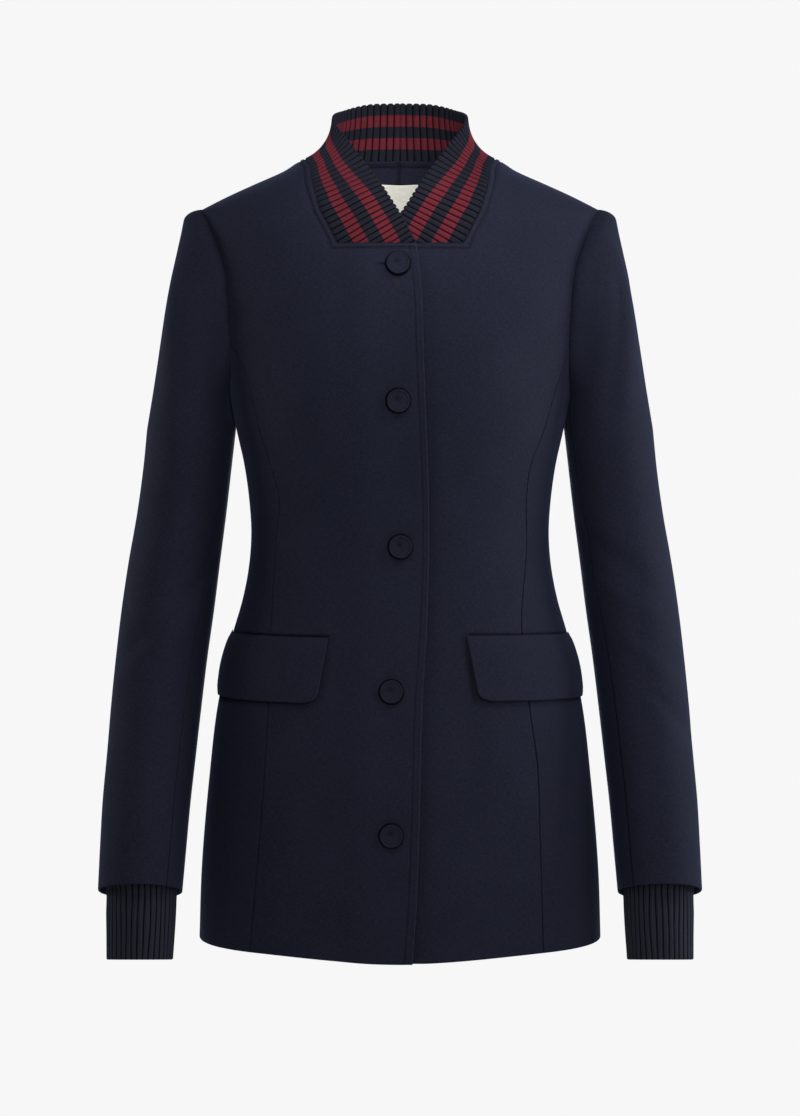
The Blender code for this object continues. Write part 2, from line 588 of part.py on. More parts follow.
def collar_skin(length, across):
    """The left half's outer face. Across runs from the seamed edge (0) to the free edge (1)."""
    base = collar_base(length)
    edge = np.array([COLLAR_EDGE.at(name, length) for name in ("across", "away", "height")])
    ruled = mix(base, edge, across)
    ahead = mix(collar_base(length + 1), np.array(
        [COLLAR_EDGE.at(name, length + 1) for name in ("across", "away", "height")]), 0.5)
    normal = unit(np.cross(edge - base, ahead - mix(base, edge, 0.5)))
    point = ruled - normal * COLLAR_EDGE.at("bow", length) * 4 * across * (1 - across)
    follow = ease((length - COLLAR_FOLLOWS_BODY_FROM)
                  / (COLLAR_FOLLOWS_BODY_AT - COLLAR_FOLLOWS_BODY_FROM))
    if follow > 0:
        body = skin(front_angle(point[0], point[2]), point[2])
        point[1] = mix(point[1], body[1], follow)
    return point


def collar_point(side, length, across, layer):
    around = collar_skin(length + 0.5, across) - collar_skin(length - 0.5, across)
    upward = collar_skin(length, across + 0.01) - collar_skin(length, across - 0.01)
    normal = unit(np.cross(upward, around))
    point = collar_skin(length, across)
    out = COLLAR_PROUD - RIB * layer
    if side == RIGHT:
        crossing = ease((-10 - point[2]) / 40)
        out += COLLAR_LIFT_RIGHT * lap_share(point[0]) * crossing
    return (point + normal * out) * (side, 1, 1)


@functools.cache
def collar_end(across, side, layer):
    """The length at which a line along the band meets the level neck seam."""
    low, high = 200.0, 330.0
    for _ in range(40):
        middle = (low + high) / 2
        if collar_point(side, middle, across, layer)[2] > NECK_SEAM + SEAM:
            low = middle
        else:
            high = middle
    return low


def collar_place(column, row, layer):
    side = RIGHT if column < COLLAR_HALF else LEFT
    station = COLLAR_STATIONS[abs(column - COLLAR_HALF)]
    gap = mix(COLLAR_GAP_BACK, COLLAR_GAP_FRONT, ease(station / BACK_NECK_LENGTH))
    across = mix(gap, 1.0, row / COLLAR_ROWS)
    share = station / COLLAR_STATIONS[-1]
    return collar_point(side, share * collar_end(across, side, layer), across, layer)


# ---------------------------------------------------------------- flaps, facing and label
def flap_place(side):
    def place(column, row, layer):
        u, v = FLAP_SHARES[column], row / FLAP_ROWS
        height = FLAP_TOP - FLAP_DROP * v
        front = mix(FLAP_FRONT_TOP, FLAP_FRONT_BOTTOM, v) + side * FRONT_CENTRE
        length_share = mix(front_angle(front, height), FLAP_BACK_ANGLE, u)
        rounding = 0.0
        reach = u * FLAP_LENGTH
        for distance in (reach, FLAP_LENGTH - reach):
            if distance < FLAP_CORNER:
                short = FLAP_CORNER - distance
                rounding = FLAP_CORNER - math.sqrt(FLAP_CORNER ** 2 - short ** 2)
        height += rounding * v ** 3
        lift = mix(FLAP_LIFT_TOP, mix(FLAP_LIFT_FRONT, FLAP_LIFT_BACK, u), v)
        return on_body(length_share, height, lift + FLAP_THICKNESS * (1 - layer)) * (side, 1, 1)
    return place


def facing_place(column, row, layer):
    """The facing lies inside the two backs on their own columns and rows."""
    signed = column - BACK_NECK_COLUMNS
    side = RIGHT if signed < 0 else LEFT
    out = -CLOTH - 2 * SEAM - FACING_THICKNESS * layer

    def on_row(back_row):
        angle, height = back_chart(side, abs(signed), back_row)
        return on_body(-90.0 if signed == 0 else angle, height, out)

    point = on_row(NECK_ROW + row)
    if row == SHOULDER_ROWS:
        point = mix(point, on_row(NECK_ROW + row - 1), FACING_TOP_SHORT)
    return point * (side, 1, 1)


def label_place(column, row, layer):
    across = mix(-LABEL_HALF_WIDTH, LABEL_HALF_WIDTH, column / LABEL_COLUMNS)
    dip = LABEL_DIP * (1 - abs(across) / LABEL_HALF_WIDTH)
    height = LABEL_TOP - dip - LABEL_DROP * row / LABEL_ROWS
    angle = -front_angle(across, height)
    out = -CLOTH - 2 * SEAM - FACING_THICKNESS - LABEL_GAP - LABEL_THICKNESS * layer
    return on_body(angle, height, out)


# ---------------------------------------------------------------- making the solids
def wall(name, columns, rows, place, skip=None, round_about=False, mirrored_before=0):
    """A wall of cloth: a grid of faces with a back layer, every corner put down by place().

    Both layers share one pattern of triangles, mirrored before one column where a piece needs it.
    """
    shape = bmesh.new()
    bmesh.ops.create_grid(shape, x_segments=columns, y_segments=rows, size=0.5)
    for corner in shape.verts:
        corner.co = ((corner.co.x + 0.5) * columns, (corner.co.y + 0.5) * rows, 0)
    if skip:
        left_out = [face for face in shape.faces if skip(face.calc_center_median())]
        bmesh.ops.delete(shape, geom=left_out, context="FACES")
    mirrored = [face for face in shape.faces if face.calc_center_median().x < mirrored_before]
    bmesh.ops.triangulate(shape, faces=mirrored, quad_method="ALTERNATE")
    rest = [face for face in shape.faces if len(face.verts) > 3]
    bmesh.ops.triangulate(shape, faces=rest, quad_method="FIXED")
    if round_about:
        for corner in shape.verts:
            turn = 2 * math.pi * corner.co.x / columns
            corner.co = (math.cos(turn), math.sin(turn), corner.co.y)
        bmesh.ops.remove_doubles(shape, verts=shape.verts[:], dist=0.00001)
    front_layer = set(shape.verts)
    bmesh.ops.extrude_face_region(shape, geom=shape.faces[:])
    if round_about:
        placed = [(corner, round(math.atan2(corner.co.y, corner.co.x) / (2 * math.pi) * columns))
                  for corner in shape.verts]
        for corner, column in placed:
            point = place(column % columns, round(corner.co.z), int(corner not in front_layer))
            corner.co = Vector(point * MM)
    else:
        for corner in shape.verts:
            point = place(round(corner.co.x), round(corner.co.y), int(corner not in front_layer))
            corner.co = Vector(point * MM)
    bmesh.ops.recalc_face_normals(shape, faces=shape.faces[:])
    if shape.calc_volume(signed=True) < 0:
        bmesh.ops.reverse_faces(shape, faces=shape.faces[:])
    mesh = bpy.data.meshes.new(name)
    shape.to_mesh(mesh)
    shape.free()
    return add_object(name, mesh)


def add_object(name, mesh):
    thing = bpy.data.objects.new(name, mesh)
    PARTS.objects.link(thing)
    return thing


def finish(thing, colour, roughness):
    """Smooth shading and a plain material of the piece's own."""
    material = bpy.data.materials.new(thing.name)
    material.use_nodes = True
    shader = material.node_tree.nodes["Principled BSDF"]
    shader.inputs["Base Color"].default_value = (*colour, 1)
    shader.inputs["Roughness"].default_value = roughness
    if not thing.data.materials:
        thing.data.materials.append(None)
    thing.material_slots[0].link = "OBJECT"
    thing.material_slots[0].material = material
    thing.data.shade_smooth()
    thing.data.set_sharp_from_angle(angle=math.radians(40))


def build_fronts():
    def in_neck(centre):
        return centre.y > NECK_ROW and centre.x < FRONT_NECK_COLUMNS

    columns = FRONT_NECK_COLUMNS + FRONT_SHOULDER_COLUMNS
    for side, word in SIDE_NAMES.items():
        front = wall(f"front_{word}", columns, ROWS,
                     lambda column, row, layer: front_point(side, column, row, -CLOTH * layer),
                     skip=in_neck)
        finish(front, NAVY_WOOL, WOOL_ROUGHNESS)


def build_sides():
    for side, word in SIDE_NAMES.items():
        panel = wall(f"side_{word}", SIDE_COLUMNS, SIDE_ROWS,
                     lambda column, row, layer: side_point(side, column, row, -CLOTH * layer))
        finish(panel, NAVY_WOOL, WOOL_ROUGHNESS)


def build_backs():
    columns = BACK_NECK_COLUMNS + BACK_SHOULDER_COLUMNS
    for side, word in SIDE_NAMES.items():
        back = wall(f"back_{word}", columns, ROWS,
                    lambda column, row, layer: back_point(side, column, row, -CLOTH * layer))
        finish(back, NAVY_WOOL, WOOL_ROUGHNESS)


def build_sleeves():
    for side, word in SIDE_NAMES.items():
        for half, columns in SLEEVE_COLUMNS.items():
            piece = wall(f"sleeve_{half}_{word}", columns, len(SLEEVE_DOWN) - 1,
                         sleeve_place(side, half))
            finish(piece, NAVY_WOOL, WOOL_ROUGHNESS)
        cuff = wall(f"cuff_{word}", CUFF_COLUMNS, len(CUFF_HEIGHTS) - 1, cuff_place(side),
                    round_about=True)
        finish(cuff, NAVY_RIB, RIB_ROUGHNESS)


def build_collar():
    collar = wall("collar", 2 * COLLAR_HALF, COLLAR_ROWS, collar_place)
    finish(collar, NAVY_RIB, RIB_ROUGHNESS)


def build_flaps():
    for side, word in SIDE_NAMES.items():
        flap = wall(f"flap_{word}", len(FLAP_SHARES) - 1, FLAP_ROWS, flap_place(side))
        finish(flap, NAVY_WOOL, WOOL_ROUGHNESS)


def build_inside_neck():
    facing = wall("back_facing", 2 * BACK_NECK_COLUMNS, SHOULDER_ROWS, facing_place,
                  mirrored_before=BACK_NECK_COLUMNS)
    finish(facing, FACING_NAVY, WOOL_ROUGHNESS)
    label = wall("label", LABEL_COLUMNS, LABEL_ROWS, label_place)
    finish(label, LABEL_CREAM, LABEL_ROUGHNESS)


def button_mesh():
    """A covered button as a turned profile: flat back, round rim and a shallow dish."""
    shape = bmesh.new()
    corners = [shape.verts.new((across * BUTTON_RADIUS * MM, 0, high * BUTTON_HEIGHT * MM))
               for across, high in BUTTON_PROFILE]
    for first, second in zip(corners, corners[1:]):
        shape.edges.new((first, second))
    mesh = bpy.data.meshes.new("covered_button")
    shape.to_mesh(mesh)
    shape.free()
    return mesh


def clear_lift(panel, seat, normal, sideways):
    """How far along the normal a button at the seat must rise to rest just off the panel."""
    highest = 0.0
    for turn in range(0, 360, 30):
        for reach in (0.0, BUTTON_RADIUS / 2, BUTTON_RADIUS):
            spoke = Matrix.Rotation(math.radians(turn), 3, normal) @ sideways
            start = seat + (spoke * reach + normal * PROBE) * MM
            distance = panel.ray_cast(start, -normal)[3]
            highest = max(highest, PROBE - distance / MM)
    return highest + SEAM


def build_buttons():
    mesh = button_mesh()
    front = PARTS.objects["front_right"].data
    panel = BVHTree.FromPolygons([corner.co for corner in front.vertices],
                                 [face.vertices for face in front.polygons])
    for name, (across, height) in BUTTONS.items():
        button = add_object(name, mesh)
        turned = button.modifiers.new("turned", "SCREW")
        turned.axis = "Z"
        turned.steps = turned.render_steps = BUTTON_STEPS
        turned.use_merge_vertices = True
        turned.merge_threshold = 0.00001
        angle = front_angle(-across, height)
        seat = Vector(on_body(angle, height, LAP) * (RIGHT, 1, 1)) * MM
        above = Vector(on_body(angle, height, LAP + 1) * (RIGHT, 1, 1)) * MM
        normal = (above - seat).normalized()
        seat += normal * clear_lift(panel, seat, normal, normal.cross((0, 0, 1))) * MM
        facing = normal.to_track_quat("Z", "Y").to_matrix().to_4x4()
        button.matrix_world = Matrix.Translation(seat) @ facing
        finish(button, NAVY_WOOL, WOOL_ROUGHNESS)


PARTS = bpy.data.collections.new("varsity_blazer")


def main():
    for thing in list(bpy.data.objects):
        bpy.data.objects.remove(thing)
    bpy.context.scene.collection.children.link(PARTS)
    build_fronts()
    build_sides()
    build_backs()
    build_sleeves()
    build_collar()
    build_flaps()
    build_inside_neck()
    build_buttons()


main()
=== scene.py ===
"""The look of a varsity blazer: navy crepe panels, a striped rib collar, rib cuffs, covered buttons.

The blazer is filled out and hollow. Lengths are in millimetres and become metres in the meshes.
"""

import math

import bpy
import numpy as np
from mathutils import Matrix, Vector
from mathutils.kdtree import KDTree


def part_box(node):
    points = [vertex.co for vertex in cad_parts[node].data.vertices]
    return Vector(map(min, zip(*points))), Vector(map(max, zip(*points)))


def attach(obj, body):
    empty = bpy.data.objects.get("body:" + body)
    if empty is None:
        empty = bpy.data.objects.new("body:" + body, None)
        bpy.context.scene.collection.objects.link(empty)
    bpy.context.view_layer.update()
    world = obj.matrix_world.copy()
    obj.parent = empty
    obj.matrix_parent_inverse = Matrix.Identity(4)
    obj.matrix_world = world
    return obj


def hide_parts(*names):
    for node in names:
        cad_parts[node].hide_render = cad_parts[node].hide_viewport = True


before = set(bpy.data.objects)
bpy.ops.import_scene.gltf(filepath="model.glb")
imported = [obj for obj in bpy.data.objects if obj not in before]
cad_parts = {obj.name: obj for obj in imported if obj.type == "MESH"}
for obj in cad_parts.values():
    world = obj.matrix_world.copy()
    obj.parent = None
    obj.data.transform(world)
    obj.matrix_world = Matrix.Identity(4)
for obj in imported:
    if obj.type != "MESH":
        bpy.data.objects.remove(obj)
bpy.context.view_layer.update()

MM = 0.001
RIGHT, LEFT = -1, 1
SIDE_NAMES = {RIGHT: "right", LEFT: "left"}

# ---------------------------------------------------------------- the blazer's sizes (mm, degrees)
CLOTH, SEAM, RIB, CUFF_RIB = 2.0, 0.3, 3.5, 2.6
HEM, UNDERARM_ROW, NECK_SEAM = -696.0, -240.0, -79.0
SQUARENESS = 2.3
LAP, LAP_FULL_AT, LAP_GONE_AT, UNDERLAP = 2.7, 24.0, 58.0, -22.0
BUST_RISE, BUST_ACROSS, BUST_HEIGHT, BUST_WIDTH, BUST_LENGTH = 8.0, 80.0, -195.0, 45.0, 60.0
ARMHOLE_TOP, ARMHOLE_MIDDLE = -43.8, -126.0
ARMHOLE_FRONT, ARMHOLE_BACK, ARMHOLE_LOWER_SQUARENESS = 50.5, 52.0, 2.6
PRINCESS_START = 116.0      # degrees round the armhole from its top, front and back
FLAP_TOP, FLAP_DROP, FLAP_LENGTH = -420.0, 57.0, 128.0
FLAP_FRONT_TOP, FLAP_FRONT_BOTTOM, FLAP_BACK_ANGLE, FLAP_CORNER = 59.5, 69.0, -2.0, 8.5
FLAP_THICKNESS, FLAP_LIFT_TOP, FLAP_LIFT_FRONT, FLAP_LIFT_BACK = 1.9, 0.4, 3.4, 0.6
FLAP_TILT = 1.8             # the left flap's front end sits this much higher, its back end lower
FLAP_PRESS = 1.0            # how much thinner a flap is pressed along its seam
FLAP_BULGE, FLAP_TURN_IN = 2.8, 0.9            # over the hip it swells, and turns in at its edge
HEM_DIP, HEM_DIP_WIDTH, HEM_DIP_LENGTH = 5.2, 130.0, 96.0      # it dips to the front's middle
HEM_FACING, FRONT_FACING = 38.0, 88.0          # how far the crepe is turned to the inside
FRONT_CENTRE = -2.0         # the flaps are centred a little to the wearer's right
LAP_PRESS, BESIDE_LAP = 2.0, 8.0               # the covered front lies lower beside the lapping edge
BUTTON_RADIUS, BUTTON_HEIGHT, HOLE_FROM, HOLE_TO = 10.7, 3.4, 17.5, 2.0
FACING_THICKNESS, FACING_GAP = 1.5, 0.6
LABEL_TOP, LABEL_DROP, LABEL_HALF_WIDTH, LABEL_DIP = -10.9, 42.0, 32.0, 1.5
LABEL_THICKNESS, LABEL_GAP = 1.0, 0.8

# How the seams, the stitch lines and the rolled edges look: painted shade along seams and stitch lines, a
# painted highlight on rolled edges.
SEAM_DEPTH, SEAM_ROLL, SEAM_ALLOWANCE, GROOVE_WIDTH, SEAM_DARK = 0.8, 0.9, 0.6, 0.5, 0.6
SEAM_SHARE = 0.55           # a seam rolls down through at most this share of the cloth
STITCH_DEPTH, EDGE_STITCH_DEPTH, STITCH_ROLL = 0.75, 0.45, 0.9
STITCH_PITCH, STITCH_LENGTH, THREAD_RADIUS = 2.6, 1.9, 0.24
# The painted highlight on the front edge's roll and on a button's rim.
EDGE_HIGHLIGHT = 0.45


class Table:
    """Named columns against the first one, read between the rows along a smooth curve."""

    def __init__(self, names, *rows):
        self.names = names.split()
        self.rows = np.array(sorted(rows), dtype=float)
        keys = self.rows[:, 0]
        steps = np.diff(keys)[:, None]
        rises = np.diff(self.rows, axis=0) / steps
        inner = (steps[:-1] * rises[1:] + steps[1:] * rises[:-1]) / (steps[:-1] + steps[1:])
        self.slopes = np.vstack([rises[:1], inner, rises[-1:]])

    def at(self, name, key):
        column = self.names.index(name)
        keys = self.rows[:, 0]
        key = np.asarray(key, dtype=float)
        inside = np.clip(key, keys[0], keys[-1])
        row = np.clip(np.searchsorted(keys, inside, side="right") - 1, 0, len(keys) - 2)
        step = keys[row + 1] - keys[row]
        t = (inside - keys[row]) / step
        low, high = self.rows[row, column], self.rows[row + 1, column]
        rise_low, rise_high = self.slopes[row, column], self.slopes[row + 1, column]
        curve = (low * (1 + 2 * t) * (1 - t) ** 2 + high * t * t * (3 - 2 * t)
                 + step * (rise_low * t * (1 - t) ** 2 - rise_high * t * t * (1 - t)))
        return curve + (key - inside) * np.where(key < keys[0], rise_low, rise_high)


# The body's level rings. Above the armholes a ring is narrower away from its sides.
BODY = Table("height half_width rounded_width front_depth back_depth",
             (8.4, 68.0, 68.0, 50.0, 69.5), (1.8, 85.5, 85.0, 55.0, 73.0),
             (-10.2, 105.8, 104.5, 63.0, 77.5), (-21.1, 130.5, 127.5, 73.0, 81.5),
             (-31.9, 154.5, 149.0, 80.5, 85.5), (-42.6, 176.0, 164.0, 85.5, 89.0),
             (-44.0, 178.6, 166.0, 86.1, 89.6), (-46.5, 179.2, 168.0, 87.0, 90.5),
             (-51.0, 178.4, 171.0, 88.5, 92.0), (-60.0, 176.5, 174.0, 92.0, 95.0),
             (-74.0, 172.5, 173.0, 96.0, 98.0), (-100.0, 168.0, 168.0, 102.0, 104.0),
             (-130.0, 164.5, 164.5, 107.5, 108.0), (-165.0, 159.0, 159.0, 113.0, 107.0),
             (-208.0, 152.5, 152.5, 115.0, 103.5), (-239.0, 146.7, 146.7, 113.0, 99.0),
             (-272.0, 139.5, 139.5, 108.5, 94.0), (-304.0, 135.2, 135.2, 104.5, 90.5),
             (-331.0, 133.6, 133.6, 102.5, 89.0), (-369.0, 136.8, 136.8, 102.0, 90.5),
             (-391.0, 141.3, 141.3, 103.0, 94.0), (-423.0, 150.5, 150.5, 105.5, 100.5),
             (-445.0, 155.6, 155.6, 107.5, 105.0), (-488.0, 164.2, 164.2, 112.0, 112.0),
             (-553.0, 171.9, 171.9, 116.5, 119.0), (-639.0, 179.1, 179.1, 119.0, 123.0),
             (-696.0, 181.0, 181.0, 120.0, 124.0))
ROUNDED_FROM_SINE = 0.6     # sine of the angle at which the rounded width has taken over

# The neckline, by the length along it from the shoulder, and round the back by the angle.
NECKLINE = Table("length angle height",
                 (0.0, 0.0, 2.2), (22.0, 22.6, 0.0), (44.0, 40.5, -7.4), (66.0, 53.0, -19.0),
                 (89.0, 62.0, -34.0), (115.0, 68.1, -56.0), (141.0, 72.0, -79.0))
BACK_NECKLINE = Table("angle height", (-90.0, 8.4), (-60.0, 7.6), (-30.0, 5.2), (0.0, 2.2))
NECKLINE_LENGTH, BACK_NECK_LENGTH = 141.0, 118.0
BACK_NECK_SHARE = 0.5       # share of the back's columns' breadth that the neckline takes

# How far out the princess seams lie.
PRINCESS = Table("height front_right front_left back",
                 (-162.0, 149.0, 151.0, 149.0), (-181.0, 138.5, 145.5, 141.0),
                 (-208.0, 130.0, 136.0, 131.0), (-243.5, 122.0, 125.0, 119.0),
                 (-270.0, 113.5, 114.5, 111.0), (-298.0, 106.0, 110.8, 104.0),
                 (-340.0, 109.3, 111.2, 98.0), (-413.0, 112.8, 106.0, 100.0),
                 (-480.0, 114.8, 112.5, 108.0), (-536.0, 118.0, 120.0, 115.0),
                 (-588.0, 122.0, 121.8, 119.0), (-692.0, 131.0, 125.0, 125.0))

# How far the lapping edge of the right front lies past the middle.
FRONT_EDGE = Table("height past_middle",
                   (-79.0, 14.3), (-118.0, 18.7), (-168.0, 20.3), (-209.0, 21.8),
                   (-261.0, 23.9), (-341.0, 25.0), (-416.0, 23.0), (-474.0, 19.6),
                   (-584.0, 16.8), (-650.0, 14.3), (-696.0, 10.8))

# The sleeve's rings, left sleeve. Lean tips a ring, near edge up, for each unit of depth.
SLEEVE = Table("height across away half_width half_depth lean",
               (-239.0, 187.6, 6.0, 39.8, 58.0, 0.0), (-272.0, 191.4, 9.0, 39.6, 56.5, 0.0),
               (-315.0, 197.0, 10.0, 40.1, 55.5, 0.0), (-358.5, 203.6, 8.0, 41.1, 55.0, 0.03),
               (-401.5, 209.2, 3.0, 41.5, 54.0, 0.08), (-444.0, 214.3, -4.0, 40.9, 52.0, 0.14),
               (-486.5, 218.4, -14.0, 40.3, 50.0, 0.19), (-529.0, 221.9, -25.0, 39.5, 48.0, 0.22),
               (-571.0, 225.5, -36.0, 38.9, 46.5, 0.24), (-612.0, 227.8, -47.0, 38.0, 45.0, 0.26),
               (-648.0, 229.8, -55.0, 37.1, 43.9, 0.31))
SLEEVE_TOP_RING, SLEEVE_HEM, SLEEVE_SQUARENESS = -239.0, -648.0, 2.1

# Round the sleeve from its outer line: where it leaves the armhole, how far and over what length
# it rolls there, how much it heads outwards and how far it stands off the straight way down.
SLEEVE_HEAD = Table("turn armhole_turn roll roll_length outwards stand_off",
                    (0.0, 0.0, 15.0, 10.0, 0.0, -3.6), (45.0, 29.0, 11.0, 10.0, 0.35, -2.4),
                    (90.0, 62.0, 7.0, 10.0, 0.6, -0.5), (120.0, 104.0, 5.0, 10.0, 0.65, 0.0),
                    (150.0, 150.0, 2.0, 8.0, 0.3, 0.6), (180.0, 180.0, 0.0, 8.0, 0.0, 0.4))
SLEEVE_TUCK, ARMHOLE_INSET, ROLL_START_SLOPE, HEAD_LIFT = 1.0, 0.8, 0.1, 1.1

# The seams' places round the sleeve, in degrees. Down is 0 at the armhole and 3 at the hem.
SLEEVE_SEAMS = Table("down front back",
                     (0.0, 152.0, 236.0), (2.0, 150.0, 238.0), (2.25, 143.0, 240.0),
                     (2.5, 136.5, 242.0), (3.0, 134.0, 244.0))

CUFF = Table("height across away half_width half_depth lean",
             (-633.0, 229.2, -51.8, 34.7, 41.2, 0.26), (-643.0, 228.5, -55.5, 32.0, 34.0, 0.22),
             (-668.0, 228.5, -60.0, 30.8, 31.5, 0.19), (-705.0, 229.3, -66.0, 29.3, 29.5, 0.17))
CUFF_TOP, CUFF_LENGTH, CUFF_RIBS = -633.0, 73.6, 36

# The collar's free edge, by the length round the band from the centre back.
COLLAR_EDGE = Table("length across away height bow",
                    (0.0, 0.0, 64.0, 60.0, 1.0), (40.0, 30.0, 55.0, 57.8, 2.0),
                    (78.0, 52.0, 36.0, 50.0, 4.0), (104.0, 61.0, 17.0, 43.5, 6.0),
                    (121.0, 59.2, 3.0, 36.5, 6.5), (138.0, 51.6, -8.0, 25.5, 6.0),
                    (155.0, 43.8, -20.0, 15.5, 4.5), (172.0, 36.3, -33.0, 4.4, 3.0),
                    (197.0, 25.2, -52.0, -12.0, 1.5), (218.0, 16.1, -67.0, -26.6, 0.5),
                    (239.0, 7.1, -80.0, -41.6, 0.0), (259.0, -1.3, -90.0, -55.0, 0.0),
                    (292.0, -14.0, -98.0, -78.5, 0.0), (322.0, -25.5, -103.0, -100.0, 0.0))
COLLAR_FOLLOWS_BODY_FROM, COLLAR_FOLLOWS_BODY_AT = 190.0, 240.0
COLLAR_LIFT_RIGHT, COLLAR_PROUD, COLLAR_TUCK = 4.0, 0.3, 1.2

# Each button's centre, across and height.
BUTTONS = {"button_1": (-1.7, -98.3), "button_2": (-1.7, -215.4), "button_3": (0.4, -341.0),
           "button_4": (-7.4, -466.4), "button_5": (-7.4, -589.7)}

# Soft troughs (below 0) and ridges of the filled-out cloth, each along a line from one point to
# another, as the wearer's left (+) or right (-) and height, with its half width and its rise.
FRONT_CREASES = [
    ((-140.0, -140.0), (-96.0, -192.0), 11.0, -1.6), ((-120.0, -138.0), (-88.0, -166.0), 10.0, 0.8),
    ((141.0, -150.0), (104.0, -186.0), 10.0, -1.1), ((120.0, -128.0), (92.0, -150.0), 12.0, 0.8),
    ((-120.0, -292.0), (-62.0, -318.0), 12.0, -0.9), ((118.0, -300.0), (70.0, -330.0), 12.0, -0.8),
    ((-118.0, -352.0), (-74.0, -338.0), 9.0, 0.6), ((26.0, -150.0), (34.0, -205.0), 9.0, -0.5),
    ((30.0, -252.0), (46.0, -322.0), 10.0, 0.6), ((58.0, -500.0), (76.0, -640.0), 16.0, -0.8),
    ((-66.0, -520.0), (-88.0, -660.0), 16.0, -0.8), ((-40.0, -540.0), (-46.0, -680.0), 15.0, 0.7),
]
BACK_CREASES = [
    ((-136.0, -150.0), (-96.0, -205.0), 12.0, -1.5), ((139.0, -158.0), (90.0, -200.0), 12.0, -1.3),
    ((-112.0, -292.0), (-48.0, -316.0), 12.0, -1.2), ((108.0, -302.0), (40.0, -330.0), 12.0, -1.1),
    ((-96.0, -330.0), (-30.0, -344.0), 10.0, 0.8), ((70.0, -520.0), (84.0, -650.0), 18.0, -0.9),
    ((-64.0, -510.0), (-80.0, -660.0), 18.0, 0.9),
]
# The same on a sleeve, as degrees round it (0 is its outer line, 90 its front) and height.
SLEEVE_CREASES = {
    RIGHT: [((150.0, -360.0), (60.0, -428.0), 9.0, -2.0), ((130.0, -408.0), (40.0, -462.0), 10.0, 1.5),
            ((35.0, -398.0), (88.0, -446.0), 8.0, -1.3), ((120.0, -500.0), (60.0, -530.0), 12.0, -0.9),
            ((70.0, -120.0), (84.0, -215.0), 9.0, -1.0), ((48.0, -90.0), (58.0, -220.0), 10.0, 0.9),
            ((250.0, -380.0), (300.0, -430.0), 10.0, -1.8), ((260.0, -425.0), (320.0, -455.0), 10.0, 1.0),
            ((300.0, -150.0), (290.0, -230.0), 12.0, -0.9)],
    LEFT: [((150.0, -330.0), (84.0, -366.0), 9.0, -1.9), ((140.0, -372.0), (60.0, -408.0), 10.0, 1.2),
           ((100.0, -430.0), (50.0, -462.0), 9.0, 1.3), ((72.0, -480.0), (30.0, -508.0), 9.0, -1.7),
           ((74.0, -110.0), (92.0, -220.0), 9.0, -1.2), ((52.0, -80.0), (64.0, -216.0), 10.0, 1.2),
           ((28.0, -120.0), (34.0, -230.0), 9.0, -0.7), ((245.0, -372.0), (310.0, -440.0), 10.0, -1.8),
           ((290.0, -140.0), (284.0, -240.0), 12.0, -0.9)],
}
SLEEVE_MM_A_DEGREE = 0.82   # degrees round a sleeve as a width


# ---------------------------------------------------------------- small helpers
def mix(start, end, share):
    return start * (1 - share) + end * share


def ease(share):
    share = np.clip(share, 0.0, 1.0)
    return share * share * (3 - 2 * share)


def bell(value, centre, half_width):
    return np.exp(-((value - centre) / half_width) ** 2)


def unit(vectors):
    return vectors / np.maximum(np.linalg.norm(vectors, axis=-1, keepdims=True), 1e-9)


def points_of(x, y, z):
    return np.stack(np.broadcast_arrays(x, y, z), axis=-1).astype(float)


def over_grid(out, grid):
    """One distance, or one for each point, spread over a grid."""
    return np.broadcast_to(np.asarray(out, dtype=float), grid.shape)


def super_radius(cosine, sine, squareness):
    return (np.abs(cosine) ** squareness + np.abs(sine) ** squareness) ** (-1 / squareness)


def cosine_and_sine(degrees):
    return np.cos(np.radians(degrees)), np.sin(np.radians(degrees))


def tree_of(spots):
    tree = KDTree(len(spots))
    for i, spot in enumerate(spots):
        tree.insert(spot, i)
    tree.balance()
    return tree


def put_in_scene(name, data):
    thing = bpy.data.objects.new(name, data)
    bpy.context.scene.collection.objects.link(thing)
    return thing


def creased(across, height, creases):
    """The rise of all the creases at points given by two lengths."""
    rise = np.zeros(np.broadcast(across, height).shape)
    for (x0, z0), (x1, z1), half_width, peak in creases:
        length = math.hypot(x1 - x0, z1 - z0)
        ux, uz = (x1 - x0) / length, (z1 - z0) / length
        along = (across - x0) * ux + (height - z0) * uz
        aside = (across - x0) * uz - (height - z0) * ux
        past_end = np.maximum(np.maximum(-along, along - length), 0)
        width = half_width * mix(0.7, 1.15, ease(along / length))
        rise = rise + peak * np.exp(-(aside / width) ** 2 - (past_end / (1.3 * half_width)) ** 2)
    return rise


# ---------------------------------------------------------------- the body's form
def ring_width(sine, height):
    return mix(BODY.at("half_width", height), BODY.at("rounded_width", height),
               ease(np.abs(sine) / ROUNDED_FROM_SINE))


def depth_at(height, in_front):
    return np.where(in_front, BODY.at("front_depth", height), BODY.at("back_depth", height))


def body_ring(angle, height):
    """A point on the body's plain ring. Angle is 0 at the side, 90 in front and -90 behind."""
    cosine, sine = cosine_and_sine(angle)
    radius = super_radius(cosine, sine, SQUARENESS)
    return points_of(ring_width(sine, height) * radius * cosine,
                     -depth_at(height, sine > 0) * radius * sine, height)


